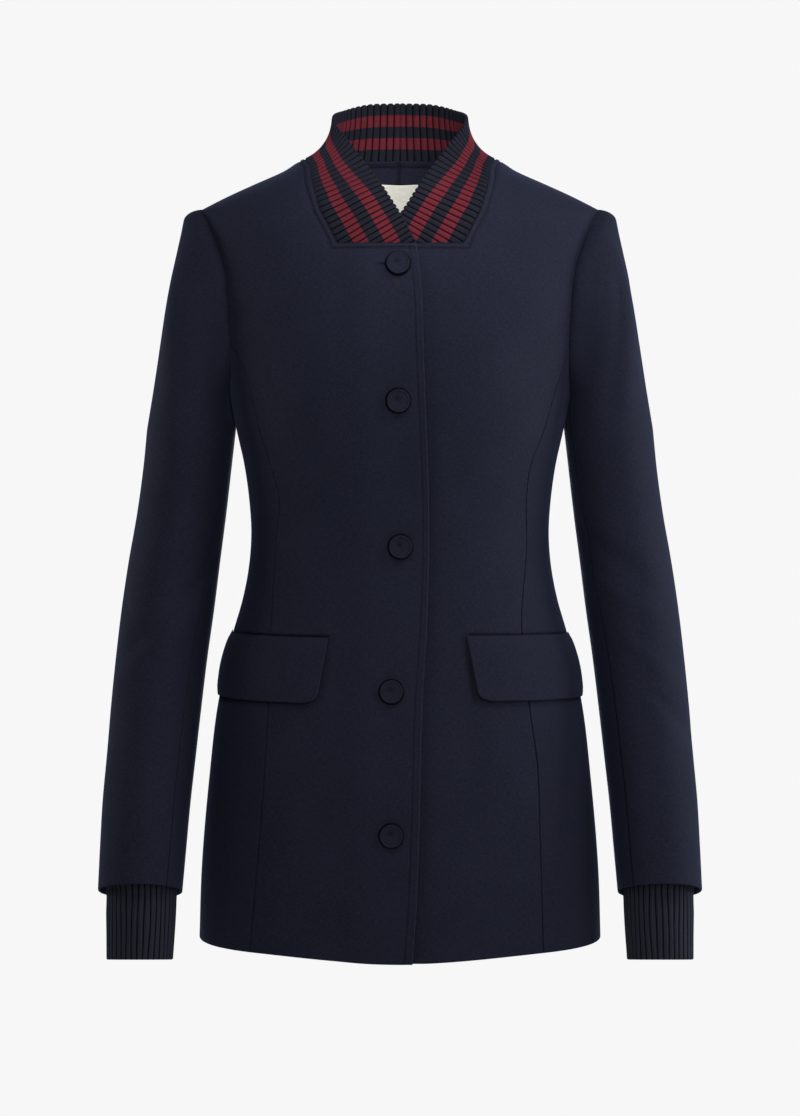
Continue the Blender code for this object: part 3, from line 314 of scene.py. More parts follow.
def plain_skin(angle, height):
    """A point on the left of the cloth's outer face without its creases.

    The bust fills out the front, and the hem dips towards the front's middle.
    """
    point = body_ring(angle, height)
    across, height, sine = point[..., 0], point[..., 2], np.sin(np.radians(angle))
    off_peak = (((np.abs(across) - BUST_ACROSS) / BUST_WIDTH) ** 2
                + ((height - BUST_HEIGHT) / BUST_LENGTH) ** 2)
    point[..., 1] -= np.where(sine > 0, BUST_RISE * np.exp(-off_peak / 2) * sine ** 2, 0)
    dip = (HEM_DIP * ease((HEM_DIP_WIDTH - np.abs(across)) / HEM_DIP_WIDTH)
           * ease((HEM + HEM_DIP_LENGTH - height) / HEM_DIP_LENGTH))
    point[..., 2] -= np.where(sine > 0, dip, 0)
    return point


def skin(side, angle, height):
    """A point on the cloth's outer face, with the bust's shaping and the creases, on the left."""
    point = plain_skin(angle, height)
    across, height = point[..., 0], point[..., 2]
    sine = np.sin(np.radians(angle))
    rise = np.where(sine > 0, creased(side * across, height, FRONT_CREASES),
                    creased(side * across, height, BACK_CREASES))
    if side == LEFT:
        edge = FRONT_EDGE.at("past_middle", np.minimum(height, NECK_SEAM))
        rise = rise - LAP_PRESS * bell(across, edge, BESIDE_LAP) * (sine > 0)
    point[..., 1] -= rise * np.sign(sine) * np.sqrt(np.abs(sine))
    return point


def on_body(side, angle, height, out):
    """The skin's point, moved out along its normal, on the left."""
    along = skin(side, angle + 0.2, height) - skin(side, angle - 0.2, height)
    upward = skin(side, angle, height + 0.2) - skin(side, angle, height - 0.2)
    out = np.asarray(out, dtype=float)[..., None]
    return skin(side, angle, height) + out * unit(np.cross(upward, along))


def front_angle(across, height):
    share = np.minimum(np.abs(across) / BODY.at("half_width", height), 1.0)
    angle = np.degrees(np.arctan2((1 - share ** SQUARENESS) ** (1 / SQUARENESS), share))
    return np.where(across > 0, angle, 180 - angle)


def armhole(turn, face, inset=0.0):
    """Angle and height of the left armhole's edge. Turn runs from the top, face is 1 in front."""
    cosine, sine = cosine_and_sine(turn)
    radius = np.where(cosine > 0, super_radius(cosine, sine, 2.0),
                      super_radius(cosine, sine, ARMHOLE_LOWER_SQUARENESS))
    height = ARMHOLE_MIDDLE + (ARMHOLE_TOP - ARMHOLE_MIDDLE - inset) * cosine * radius
    reach = (np.where(np.asarray(face) > 0, ARMHOLE_FRONT, ARMHOLE_BACK) - inset) * sine * radius
    share = np.clip(reach / depth_at(height, np.asarray(face) > 0), 0, 1)
    angle = np.degrees(np.arctan2(share, (1 - share ** SQUARENESS) ** (1 / SQUARENESS)))
    return face * angle, height


def armhole_turn_at(height, face):
    turns = np.linspace(180, 0, 2881)
    return np.interp(height, armhole(turns, face)[1], turns)


def princess(column, height, face):
    """Angle and height of a princess seam, which ends on the armhole."""
    start_angle, start_height = (float(value) for value in armhole(PRINCESS_START, face))
    miss = abs(skin(LEFT, start_angle, start_height)[0]) - PRINCESS.at(column, start_height)
    across = PRINCESS.at(column, height)
    across = across + miss * ease((height - UNDERARM_ROW) / (start_height - UNDERARM_ROW))
    return face * front_angle(across, height), height


def chart_of(points):
    """Angle and height of points that lie near the plain rings."""
    x, y, height = points[..., 0], points[..., 1], points[..., 2]
    face = np.where(y > 0, -1, 1)
    depth = depth_at(height, face > 0)
    angle = np.zeros(x.shape)
    for _ in range(8):
        angle = np.arctan2(np.abs(y) / depth, x / ring_width(np.sin(angle), height))
    return face * np.degrees(angle), height


def coons(bottom, top, left, right, u, v):
    """Angle and height in a patch between four edges, each a function giving the two."""
    def place(edge, share):
        return body_ring(*edge(np.asarray(share, dtype=float)))

    u3, v3 = u[..., None], v[..., None]
    ruled = mix(place(bottom, u), place(top, u), v3) + mix(place(left, v), place(right, v), u3)
    corners = mix(mix(place(bottom, 0), place(bottom, 1), u3),
                  mix(place(top, 0), place(top, 1), u3), v3)
    return chart_of(ruled - corners)


def shift_across(angle, height, distance):
    per_degree = np.linalg.norm(skin(LEFT, angle + 0.5, height) - skin(LEFT, angle - 0.5, height),
                                axis=-1)
    return angle - np.where(angle > 0, distance, -distance) / per_degree


def outer_edge(height, column, face):
    """The outer edge of a front or back below its shoulder: princess seam, then armhole."""
    start_height = float(armhole(PRINCESS_START, face)[1])
    seam = shift_across(*princess(column, height, face), -SEAM / 2)
    around = armhole(armhole_turn_at(height, face), face)[0]
    return np.where(height <= start_height, seam, around)


def lap_share(across):
    return 1 - ease((across - LAP_FULL_AT) / (LAP_GONE_AT - LAP_FULL_AT))


# ---------------------------------------------------------------- stations along a panel
# Where rows sit close by a folded edge, by a seam, by the neck seam with its stitch line, and by
# the front edge with its roll and its stitch line. Elsewhere they are a step apart.
FOLD = (0.0, 0.12, 0.35, 0.7, 1.1, 1.8, 3.0)
SEWN = (0.0, 0.35, 0.9, 1.6, 2.6)
NECK_SEWN = (0.0, 0.35, 0.9, 1.6, 2.6, 3.8, 4.5, 5.0, 5.5, 6.4)
FRONT_FOLD = (0.0, 0.12, 0.35, 0.7, 1.1, 1.7, 2.6, 3.6, 4.2, 4.6, 4.9, 5.15, 5.4, 5.8, 6.5, 7.8, 10.5)
EDGE_ROLL_COLUMN, EDGE_STITCH_COLUMN = 4, 11
FACING_SEWN = (0.0, 0.4, 1.0, 3.0, 4.4, 5.0, 5.6, 7.0)
COLLAR_STITCH_ROWS, COLLAR_STITCH_COLUMNS, FACING_STITCH_ROW = 7, 7, -6
SHOULDER_ROWS, UNDERARM_ROWS = (0.0, 0.004, 0.012, 0.024), (0.0, 0.006, 0.015, 0.03, 0.05)
BY_A_LINE = (-2.4, -1.2, -0.6, 0.0, 0.6, 1.2, 2.4)
STEP = 4.0

# A panel's middling radius turns degrees round the body into widths, and its usual widths set how
# many columns it has.
FRONT_RADIUS, BACK_RADIUS, SIDE_RADIUS = 125.0, 128.0, 120.0
UNDER_NECK_WIDTH, FRONT_WIDTH, SHOULDER_WIDTH, BACK_WIDTH, SIDE_WIDTH = 66.0, 118.0, 100.0, 200.0, 170.0


def stations(width, starts, ends, typical):
    """Distances across a width (an array of widths): close rows by each end, even ones between."""
    width = np.asarray(width, dtype=float)
    middle = max(int((typical - starts[-1] - ends[-1]) / STEP), 1)
    near = [np.full(width.shape, value) for value in starts]
    far = [width - value for value in reversed(ends)]
    between = [starts[-1] + (width - starts[-1] - ends[-1]) * i / middle for i in range(1, middle)]
    return np.stack(near + between + far, axis=-1)


def heights_between(low, high, starts, ends, extra=()):
    """Levels from low to high, with close rows at both ends and round each extra level."""
    levels = list(low + stations(high - low, starts, ends, high - low))
    for level in extra:
        close = [level + away for away in BY_A_LINE]
        levels = [value for value in levels if abs(value - level) > BY_A_LINE[-1] + 1.0] + close
    return np.array(sorted(levels))


# ---------------------------------------------------------------- making cloth
ALL = slice(None)
SIDE_SEAMS = [("seam", ALL, 0, (0, 1)), ("seam", ALL, -1, (0, -1))]
PANEL_EDGES = [("fold", 0, ALL, (1, 0))] + SIDE_SEAMS + [("seam", -1, ALL, (-1, 0))]
LAST_ROW_FOLDED = [("fold", -1, ALL, (-1, 0))]
FOLDED_ALL_ROUND = [("fold", 0, ALL, (1, 0)), ("fold", -1, ALL, (-1, 0)),
                    ("fold", ALL, 0, (0, 1)), ("fold", ALL, -1, (0, -1))]


def near_to(points, lines):
    """The distance from each point to the nearest of the lines, which are rows of points."""
    dense = []
    for line in lines:
        for first, second in zip(line, line[1:]):
            count = max(int(np.linalg.norm(second - first) / 0.4), 1)
            dense += [mix(first, second, i / count) for i in range(count)]
        dense.append(line[-1])
    tree, flat = tree_of(dense), points.reshape(-1, 3)
    return np.array([tree.find(spot)[2] for spot in flat]).reshape(points.shape[:-1])


def fold_drop(distance, radius):
    inside = np.clip(radius - distance, 0, radius)
    return radius - np.sqrt(radius ** 2 - inside ** 2)


def seam_drop(distance):
    return SEAM_DEPTH * np.clip(1 - distance / SEAM_ROLL, 0, 1) ** 2


def laid_flat(face):
    """Each point's distance along its row, and its height."""
    steps = np.linalg.norm(np.diff(face, axis=1), axis=-1)
    along = np.hstack([np.zeros((len(face), 1)), np.cumsum(steps, axis=1)])
    return np.stack([along, face[..., 2]], axis=-1)


def cloth(name, place, borders, thickness=CLOTH, keep=None, closed=False, dips=(), uv=None):
    """A closed wall of cloth from a grid of points that place(out) puts down.

    Borders give the grid's edges, with the step from each into the cloth, and whether it is a
    fold, which is rounded, or a seam, which rolls down into its groove over its allowance.
    Dips are lines pressed into the face, each with its depth, reach and the painted shade along it, which
    below 0 is a painted highlight.
    """
    face = place(0.0)
    drop, rise, groove = (np.zeros(face.shape[:2]) for _ in range(3))
    folds, seams = ([face[rows, columns] for kind, rows, columns, _ in borders if kind == style]
                    for style in ("fold", "seam"))
    if folds:
        drop = rise = fold_drop(near_to(face, folds), thickness / 2)
    if seams:
        to_seam = near_to(face, seams)
        drop = np.maximum(drop, np.minimum(seam_drop(to_seam), thickness * SEAM_SHARE))
    # Each dip paints shade along its line, or a highlight where its darkness is below 0.
    for line, depth, roll, dark in dips:
        pressed = bell(near_to(face, [line]), 0, roll)
        drop = drop + depth * pressed
        groove = np.where(abs(dark) * pressed > abs(groove), dark * pressed, groove)
    # Painted shade along each seam.
    if seams:
        groove = np.maximum(groove, SEAM_DARK * bell(to_seam, 0, GROOVE_WIDTH))
    outer, inner = place(-drop), place(rise - thickness)
    for kind, rows, columns, (down, along) in borders:
        if kind == "seam":
            beside = inner[rows + down if down else rows, columns + along if along else columns]
            inner[rows, columns] += SEAM_ALLOWANCE * unit(inner[rows, columns] - beside)
    if uv is None:
        uv = laid_flat(face)
        uv[..., 0] -= uv[:, -1:, 0] / 2
    return wall_mesh(name, outer, inner, uv, keep, closed, groove)


def layer_quads(rows, columns, keep, closed):
    """A layer's quads, as the numbers of its points and of their places on the flat cloth."""
    spot = np.arange(rows * columns).reshape(rows, columns)
    quads = np.stack([spot[:-1, :-1], spot[:-1, 1:], spot[1:, 1:], spot[1:, :-1]], axis=-1)
    quads = quads[keep] if keep is not None else quads.reshape(-1, 4)
    if not closed:
        return quads, quads
    spot[:, -1] = spot[:, 0]
    return spot.reshape(-1)[quads], quads


def rim_quads(quads, flat_quads, size):
    """Quads from every open edge of the outer layer to the inner one, numbered size higher."""
    starts, ends = quads.reshape(-1), np.roll(quads, -1, axis=1).reshape(-1)
    rim = ~np.isin(starts * size + ends, ends * size + starts)
    a, b = starts[rim], ends[rim]
    flat_a = flat_quads.reshape(-1)[rim]
    flat_b = np.roll(flat_quads, -1, axis=1).reshape(-1)[rim]
    return (np.stack([b, a, a + size, b + size], axis=-1),
            np.stack([flat_b, flat_a, flat_a, flat_b], axis=-1))


def inside_out(points, faces):
    a, b, c, d = (points[faces[:, k]] for k in range(4))
    volume = np.einsum("ij,ij->i", a, np.cross(b, c)) + np.einsum("ij,ij->i", a, np.cross(c, d))
    return volume.sum() < 0


def wall_mesh(name, outer, inner, uv, keep=None, closed=False, groove=None):
    """One solid mesh from an outer and an inner layer, both rows by columns of points."""
    rows, columns = outer.shape[:2]
    quads, flat_quads = layer_quads(rows, columns, keep, closed)
    rim, flat_rim = rim_quads(quads, flat_quads, rows * columns)
    faces = np.vstack([quads, quads[:, ::-1] + rows * columns, rim])
    flat = np.vstack([flat_quads, flat_quads[:, ::-1], flat_rim])
    used, faces = np.unique(faces, return_inverse=True)
    faces = faces.reshape(-1, 4)
    points = np.vstack([outer.reshape(-1, 3), inner.reshape(-1, 3)])[used] * MM
    if inside_out(points, faces):
        faces, flat = faces[:, ::-1], flat[:, ::-1]
    mesh = bpy.data.meshes.new(name)
    mesh.from_pydata(points.tolist(), [], faces.tolist())
    layer = mesh.uv_layers.new(name="cloth")
    layer.data.foreach_set("uv", (uv.reshape(-1, 2)[flat.reshape(-1)] * MM).reshape(-1))
    inside = np.zeros(len(faces), dtype=np.int32)
    inside[len(quads):2 * len(quads)] = 1
    mesh.attributes.new("inside", "INT", "FACE").data.foreach_set("value", inside)
    if groove is not None:
        both = np.concatenate([groove.reshape(-1), 0.0 * groove.reshape(-1)])[used]
        mesh.attributes.new("groove", "FLOAT", "POINT").data.foreach_set("value", both)
    mesh.shade_smooth()
    return put_in_scene(name, mesh)


def line_inside(thing):
    """Gives the inside faces the lining, apart from the hem's and the front edge's facing."""
    mesh = thing.data
    inside = np.zeros(len(mesh.polygons), dtype=np.int32)
    mesh.attributes["inside"].data.foreach_get("value", inside)
    centres = np.zeros(len(mesh.polygons) * 3)
    mesh.polygons.foreach_get("center", centres)
    x, y, z = centres.reshape(-1, 3).T / MM
    hem = HEM if "sleeve" not in thing.name else SLEEVE_HEM
    faced = (z < hem + HEM_FACING) | ((np.abs(x) < FRONT_FACING) & (y < 0) & ("front" in thing.name))
    mesh.materials.append(LINING)
    mesh.polygons.foreach_set("material_index", np.where(faced, 0, inside).astype(np.int32))


# ---------------------------------------------------------------- body panels
def rising_shares(count, ends):
    """Shares from 0 to 1 with close rows towards 1, leaving out 0."""
    far = [1 - value for value in reversed(ends)]
    return np.array([far[0] * i / count for i in range(1, count)] + far)


def front_below_neck(side, low):
    """Angles along the front's lower rows, and the column at which the neckline starts."""
    edge = np.full(low.shape, UNDERLAP) if side == LEFT else -FRONT_EDGE.at("past_middle", low)
    inner, outer = front_angle(edge, low), outer_edge(low, "front_" + SIDE_NAMES[side], 1)
    corner_angle = float(NECKLINE.at("angle", NECKLINE_LENGTH))
    neck_share = (corner_angle - inner[-1]) / (outer[-1] - inner[-1])
    width = np.abs(outer - inner) * np.radians(1) * FRONT_RADIUS
    near = stations(width * neck_share, FRONT_FOLD, (2.0,), UNDER_NECK_WIDTH) / width[:, None]
    far = neck_share + stations(width * (1 - neck_share), NECK_SEWN[1:], SEWN,
                                FRONT_WIDTH) / width[:, None]
    share = np.hstack([near, np.full((len(low), 1), neck_share), far])
    return mix(inner[:, None], outer[:, None], share), near.shape[1]


def front_shoulder(up):
    """Angle and height on the front's upper part, between the neckline and the armhole."""
    corner_angle = float(NECKLINE.at("angle", NECKLINE_LENGTH))
    side_turn = float(armhole_turn_at(NECK_SEAM, 1))

    def neck_edge(part):
        length = NECKLINE_LENGTH * (1 - part)
        return NECKLINE.at("angle", length), NECKLINE.at("height", length)

    def ridge(part):
        return 0 * part, mix(NECKLINE.at("height", 0.0), ARMHOLE_TOP, part)

    def foot(part):
        end_angle, end_height = armhole(side_turn, 1)
        return mix(corner_angle, end_angle, part), mix(NECK_SEAM, end_height, part)

    def armhole_edge(part):
        return armhole(side_turn * (1 - part), 1)

    breadth = np.linspace(FRONT_WIDTH, SHOULDER_WIDTH, len(up))
    u = stations(breadth, NECK_SEWN, SEWN, FRONT_WIDTH) / breadth[:, None]
    v = np.broadcast_to(up[:, None], u.shape)
    angle, height = coons(foot, ridge, neck_edge, armhole_edge, u, v)
    return np.maximum(angle, np.degrees(SEAM / 2 / BODY.at("front_depth", height))), height


def front_grid(side):
    """Places the front: rows from the hem to the neck seam, then up to the shoulder."""
    low = heights_between(HEM, NECK_SEAM, FOLD, NECK_SEWN,
                          extra=(FLAP_TOP + 0.6, BUTTONS["button_1"][1]))
    angle_low, neck_column = front_below_neck(side, low)
    height_low = np.broadcast_to(low[:, None], angle_low.shape)
    angle_up, height_up = front_shoulder(rising_shares(26, SHOULDER_ROWS))

    def joined(lower, upper):
        filler = np.repeat(lower[-1:, :neck_column], len(upper), axis=0)
        return np.vstack([lower, np.hstack([filler, upper])])

    angle, height = joined(angle_low, angle_up), joined(height_low, height_up)
    keep = np.ones((angle.shape[0] - 1, angle.shape[1] - 1), dtype=bool)
    keep[len(low) - 1:, :neck_column] = False
    columns = np.arange(angle.shape[1])
    levelled = ((height - NECK_SEAM + 15) / 15 * (height <= NECK_SEAM + 1e-6)
                * (1 - ease((columns - neck_column) / 6)))

    def place(out):
        """The rows next below the neck seam are levelled, so that the seam is straight."""
        out = over_grid(out, angle)
        if side == RIGHT:
            out = out + LAP * lap_share(skin(side, angle, height)[..., 0])
        point = on_body(side, angle, height, out)
        lower = height - (point[..., 2] - height) * ease(levelled)
        return on_body(side, angle, lower, out) * (side, 1, 1)

    return place, keep, len(low) - 1, neck_column


def flap_top(side, along):
    """The height of a flap's top edge, from 0 at its front end to 1 at its back end."""
    return FLAP_TOP + (mix(FLAP_TILT, -FLAP_TILT, along) if side == LEFT else 0.0 * along)


def flap_line(side, above=0.7):
    """The line in the body's face where a flap comes out of it."""
    front = front_angle(FLAP_FRONT_TOP + side * FRONT_CENTRE + 1.2, FLAP_TOP)
    angles = np.linspace(float(front), FLAP_BACK_ANGLE - 0.5, 60)
    height = flap_top(side, np.linspace(0.0, 1.0, 60)) + above
    return on_body(side, angles, height, 0.0) * (side, 1, 1)


def lap_shade():
    """The line on the left front beside the lapping edge, where less light gets in."""
    height = np.linspace(HEM + 2.0, NECK_SEAM - 4.0, 300)
    across = FRONT_EDGE.at("past_middle", height) + 2.0
    return on_body(LEFT, front_angle(across, height), height, np.zeros(300))


def flap_shade(side):
    """The line on the body beside a flap's front edge, where less light gets in."""
    down = np.linspace(0.02, 0.93, 40)
    across = mix(FLAP_FRONT_TOP, FLAP_FRONT_BOTTOM, down) + side * FRONT_CENTRE - 1.0
    height = FLAP_TOP - FLAP_DROP * down
    return on_body(side, front_angle(across, height), height, np.zeros(40)) * (side, 1, 1)


def flap_dips(side):
    """A flap's line with painted shade along it, pressed in short of its back end, and the body's cloth
    swelling over the flap's seam, not at the outline.
    """
    return [(flap_line(side), 0.0, 0.9, 1.0), (flap_line(side)[:-12], 0.35, 0.9, 0.0),
            (flap_line(side, 3.8)[:-14], -0.7, 3.0, 0.0)]


def collar_lines(face, neck_row, neck_column):
    """The stitch line beside a front's collar seam, and the seam."""
    first = EDGE_ROLL_COLUMN + 1
    row, column = neck_row - COLLAR_STITCH_ROWS, neck_column + COLLAR_STITCH_COLUMNS
    stitched = np.vstack([face[row, first:neck_column + 1], face[row, neck_column:column + 1],
                          face[row:, column]])
    seamed = np.vstack([face[neck_row, first:neck_column + 1], face[neck_row:, neck_column]])
    return stitched, seamed


def front_dips(side, edge, stitched, seamed):
    """What is pressed into a front and the shade painted on it: the collar seam, stitch lines, flap and
    buttonholes, with painted shade along them, beside the flap's front edge and, on the left front,
    beside the lap.
    """
    between = mix(stitched, seamed_beside(stitched, seamed), 0.5)
    dips = [(stitched, STITCH_DEPTH, STITCH_ROLL, 0.7), (seamed, 0.7, 0.9, 1.0),
            (between, -0.3, 1.5, 0.0),
            (flap_shade(side), 0.0, 2.8, 0.6 if side == LEFT else 0.4)] + flap_dips(side)
    if side == LEFT:
        return dips + [(lap_shade(), 0.0, 3.2, 0.2)]
    # The front edge's stitch line gets painted shade, and its roll a painted highlight.
    return (dips + [(edge[:, EDGE_STITCH_COLUMN], EDGE_STITCH_DEPTH, STITCH_ROLL, 0.42),
                    (edge[:, EDGE_ROLL_COLUMN], -0.5, 1.1, -EDGE_HIGHLIGHT)]
            + [(hole, 0.8, 0.8, 1.0) for hole in buttonhole_lines()])


def build_fronts():
    for side, word in SIDE_NAMES.items():
        place, keep, neck_row, neck_column = front_grid(side)
        face = place(0.0)
        borders = [("fold", slice(0, neck_row + 1), 0, (0, 1)), ("fold", 0, ALL, (1, 0)),
                   ("seam", neck_row, slice(0, neck_column), (-1, 0)),
                   ("seam", slice(neck_row + 1, None), neck_column, (0, 1)),
                   ("seam", ALL, -1, (0, -1)),
                   ("seam", -1, slice(neck_column, None), (-1, 0))]
        stitched, seamed = collar_lines(face, neck_row, neck_column)
        edge = face[:neck_row - COLLAR_STITCH_ROWS + 1]
        front = cloth(f"front_{word}_crepe", place, borders, keep=keep,
                      dips=front_dips(side, edge, stitched, seamed))
        hang(front, f"front_{word}", CREPE, lined=True)
        sew_along(f"collar_seam_stitches_{word}", stitched, face_normals(place, stitched, face))
        if side == RIGHT:
            line = edge[6:, EDGE_STITCH_COLUMN]
            sew_along("front_edge_stitches", line, face_normals(place, line, face))


def seamed_beside(stitched, seamed):
    """For each point of the stitch line, the nearest point of the seam."""
    away = np.linalg.norm(stitched[:, None] - seamed[None], axis=-1)
    return seamed[np.argmin(away, axis=1)]


def face_normals(place, line, face):
    """Outward normals beside a line of the face's own points."""
    lifted = place(1.0)
    flat, high = face.reshape(-1, 3), lifted.reshape(-1, 3)
    tree = tree_of(flat)
    nearest = [tree.find(spot)[1] for spot in line]
    return unit(high[nearest] - flat[nearest])


def back_grid(side):
    low = heights_between(HEM, NECK_SEAM, FOLD, (0.0,))
    up = rising_shares(24, SHOULDER_ROWS)
    outer = outer_edge(low, "back", -1)
    width = np.abs(outer + 90.0) * np.radians(1) * BACK_RADIUS
    share = stations(width, SEWN, SEWN, BACK_WIDTH) / width[:, None]
    angle_low = mix(-90.0, outer[:, None], share)
    height_low = np.broadcast_to(low[:, None], angle_low.shape)
    u = np.repeat(share[-1:], len(up), axis=0)
    angle_up, height_up = back_shoulder(u, np.broadcast_to(up[:, None], u.shape))
    angle, height = np.vstack([angle_low, angle_up]), np.vstack([height_low, height_up])

    def place(out):
        point = on_body(side, angle, height, over_grid(out, angle))
        point[..., 0] = np.maximum(point[..., 0], SEAM / 2)
        return point * (side, 1, 1)

    return place


def back_shoulder(u, v):
    """Angle and height on the left back's upper part, above the level of the neck seam."""
    side_turn = float(armhole_turn_at(NECK_SEAM, -1))

    def top(part):
        along = np.clip((part - BACK_NECK_SHARE) / (1 - BACK_NECK_SHARE), 0, 1)
        neck = -90.0 * (1 - np.clip(part / BACK_NECK_SHARE, 0, 1))
        height = np.where(part <= BACK_NECK_SHARE, BACK_NECKLINE.at("height", neck),
                          mix(BACK_NECKLINE.at("height", 0.0), ARMHOLE_TOP, along))
        return neck, height

    def foot(part):
        end_angle, end_height = armhole(side_turn, -1)
        return mix(-90.0, end_angle, part), mix(NECK_SEAM, end_height, part)

    def centre_back(part):
        return 0 * part - 90.0, mix(NECK_SEAM, top(np.zeros(1))[1], part)

    def armhole_edge(part):
        return armhole(side_turn * (1 - part), -1)

    angle, height = coons(foot, top, centre_back, armhole_edge, u, v)
    return np.minimum(angle, -np.degrees(SEAM / 2 / BODY.at("back_depth", height))), height


def build_backs():
    for side, word in SIDE_NAMES.items():
        back = cloth(f"back_{word}_crepe", back_grid(side), PANEL_EDGES)
        hang(back, f"back_{word}", CREPE, lined=True)


def side_grid(side):
    seam = "front_" + SIDE_NAMES[side]
    end = float(armhole(PRINCESS_START, 1)[1])
    low = heights_between(HEM, UNDERARM_ROW, FOLD, (0.0,), extra=(FLAP_TOP + 0.6,))
    up = rising_shares(16, UNDERARM_ROWS)

    def seam_edge(height, name, face):
        return shift_across(*princess(name, height, face), SEAM / 2)

    front, back = seam_edge(low, seam, 1), seam_edge(low, "back", -1)
    width = np.abs(front - back) * np.radians(1) * SIDE_RADIUS
    share = stations(width, SEWN, SEWN, SIDE_WIDTH) / width[:, None]
    angle_low = mix(front[:, None], back[:, None], share)
    height_low = np.broadcast_to(low[:, None], angle_low.shape)
    u = np.repeat(share[-1:], len(up), axis=0)
    v = np.broadcast_to(up[:, None], u.shape)
    ends = [float(seam_edge(np.array(end), seam, 1)), float(seam_edge(np.array(end), "back", -1))]

    def foot(part):
        return mix(front[-1], back[-1], part), 0 * part + UNDERARM_ROW

    def underarm(part):
        turn = mix(PRINCESS_START, 360 - PRINCESS_START, part)
        in_front, behind = armhole(turn, 1), armhole(360 - turn, -1)
        angle = np.where(turn <= 180, in_front[0], behind[0])
        height = np.where(turn <= 180, in_front[1], behind[1])
        angle = np.where(part <= 0, ends[0], np.where(part >= 1, ends[1], angle))
        return angle, height

    def rise(name, face):
        def edge(part):
            height = mix(UNDERARM_ROW, end, part)
            return seam_edge(height, name, face), height
        return edge

    angle_up, height_up = coons(foot, underarm, rise(seam, 1), rise("back", -1), u, v)
    angle, height = np.vstack([angle_low, angle_up]), np.vstack([height_low, height_up])

    def place(out):
        return on_body(side, angle, height, over_grid(out, angle)) * (side, 1, 1)

    return place


def build_sides():
    for side, word in SIDE_NAMES.items():
        panel = cloth(f"side_{word}_crepe", side_grid(side), PANEL_EDGES, dips=flap_dips(side))
        hang(panel, f"side_{word}", CREPE, lined=True)


# ---------------------------------------------------------------- sleeves
def ring_point(table, turn, height, squareness=2.0):
    cosine, sine = cosine_and_sine(turn)
    radius = super_radius(cosine, sine, squareness)
    depth = table.at("half_depth", height) * sine * radius
    return points_of(table.at("across", height) + table.at("half_width", height) * cosine * radius,
                     table.at("away", height) - depth, height + table.at("lean", height) * depth)


def sleeve_start(half_turn, face):
    """Where the sleeve leaves the body, tucked in beside the armhole's edge."""
    at_top = np.maximum(np.cos(np.radians(half_turn)), 0)
    angle, height = armhole(SLEEVE_HEAD.at("armhole_turn", half_turn), face,
                            ARMHOLE_INSET * (1 - 0.9 * at_top ** 2))
    return plain_skin(angle, height) - points_of(SLEEVE_TUCK, 0.0, -HEAD_LIFT * at_top ** 4)


def sleeve_head(turn, down):
    """The left sleeve's head: it rolls out of the armhole, then runs to the sleeve's top ring."""
    face = np.where(turn <= 180, 1, -1)
    half_turn = np.where(face > 0, turn, 360 - turn)
    roll = SLEEVE_HEAD.at("roll", half_turn)
    roll_length = SLEEVE_HEAD.at("roll_length", half_turn)
    cosine, sine = cosine_and_sine(turn)
    rolled = roll[..., None] * points_of(np.maximum(cosine, 0), -sine, 0.0)
    top_ring = ring_point(SLEEVE, turn, SLEEVE_TOP_RING, SLEEVE_SQUARENESS)
    below = ring_point(SLEEVE, turn, SLEEVE_TOP_RING - 1, SLEEVE_SQUARENESS)
    start, end = sleeve_start(half_turn, face), top_ring - rolled
    length = np.linalg.norm(end - start, axis=-1)
    quarter = np.minimum(down, 1) * math.pi / 2
    travelled = np.where(down <= 1, roll_length * mix(1 - np.cos(quarter), down, ROLL_START_SLOPE),
                         mix(roll_length, length, np.clip(down - 1, 0, 1)))
    rolled = rolled * np.sin(quarter)[..., None]
    t = travelled / length
    arrive = (below - top_ring) * length[..., None]
    outwards = SLEEVE_HEAD.at("outwards", half_turn)[..., None]
    leave = unit(mix(unit(end - start), np.array([1.0, 0.0, 0.0]), outwards)) * length[..., None]
    stand_off = SLEEVE_HEAD.at("stand_off", half_turn) * 4 * t * (1 - t)
    t = t[..., None]
    return (start * (1 + 2 * t) * (1 - t) ** 2 + end * t * t * (3 - 2 * t)
            + leave * t * (1 - t) ** 2 - arrive * t * t * (1 - t) + rolled
            + points_of(stand_off, 0.0, 0.0))


def sleeve_form(turn, down):
    """The left sleeve's plain face. Down is 0 at the armhole, 2 at the top ring, 3 at the hem."""
    turn, down = np.broadcast_arrays(np.asarray(turn, dtype=float), np.asarray(down, dtype=float))
    tube = ring_point(SLEEVE, turn, mix(SLEEVE_TOP_RING, SLEEVE_HEM, np.maximum(down - 2, 0)),
                      SLEEVE_SQUARENESS)
    return np.where((down >= 2)[..., None], tube, sleeve_head(turn % 360, down))


def sleeve_normal(turn, down):
    ahead = np.minimum(down + 0.004, 3.0)
    along = sleeve_form(turn, ahead) - sleeve_form(turn, ahead - 0.008)
    around = sleeve_form(turn + 0.5, down) - sleeve_form(turn - 0.5, down)
    return unit(np.cross(around, along))


def sleeve_down():
    """Rows down the sleeve: close at the armhole and at the hem."""
    roll = [0.0, 0.04, 0.1, 0.18, 0.28, 0.4, 0.52, 0.64, 0.76, 0.88]
    cap_rows = 46
    cap = [1 + i / cap_rows for i in range(cap_rows)]
    length = SLEEVE_TOP_RING - SLEEVE_HEM
    tube = 3 - stations(length, FOLD, (0.0,), length)[::-1] / length
    return np.array(roll + cap + list(tube))


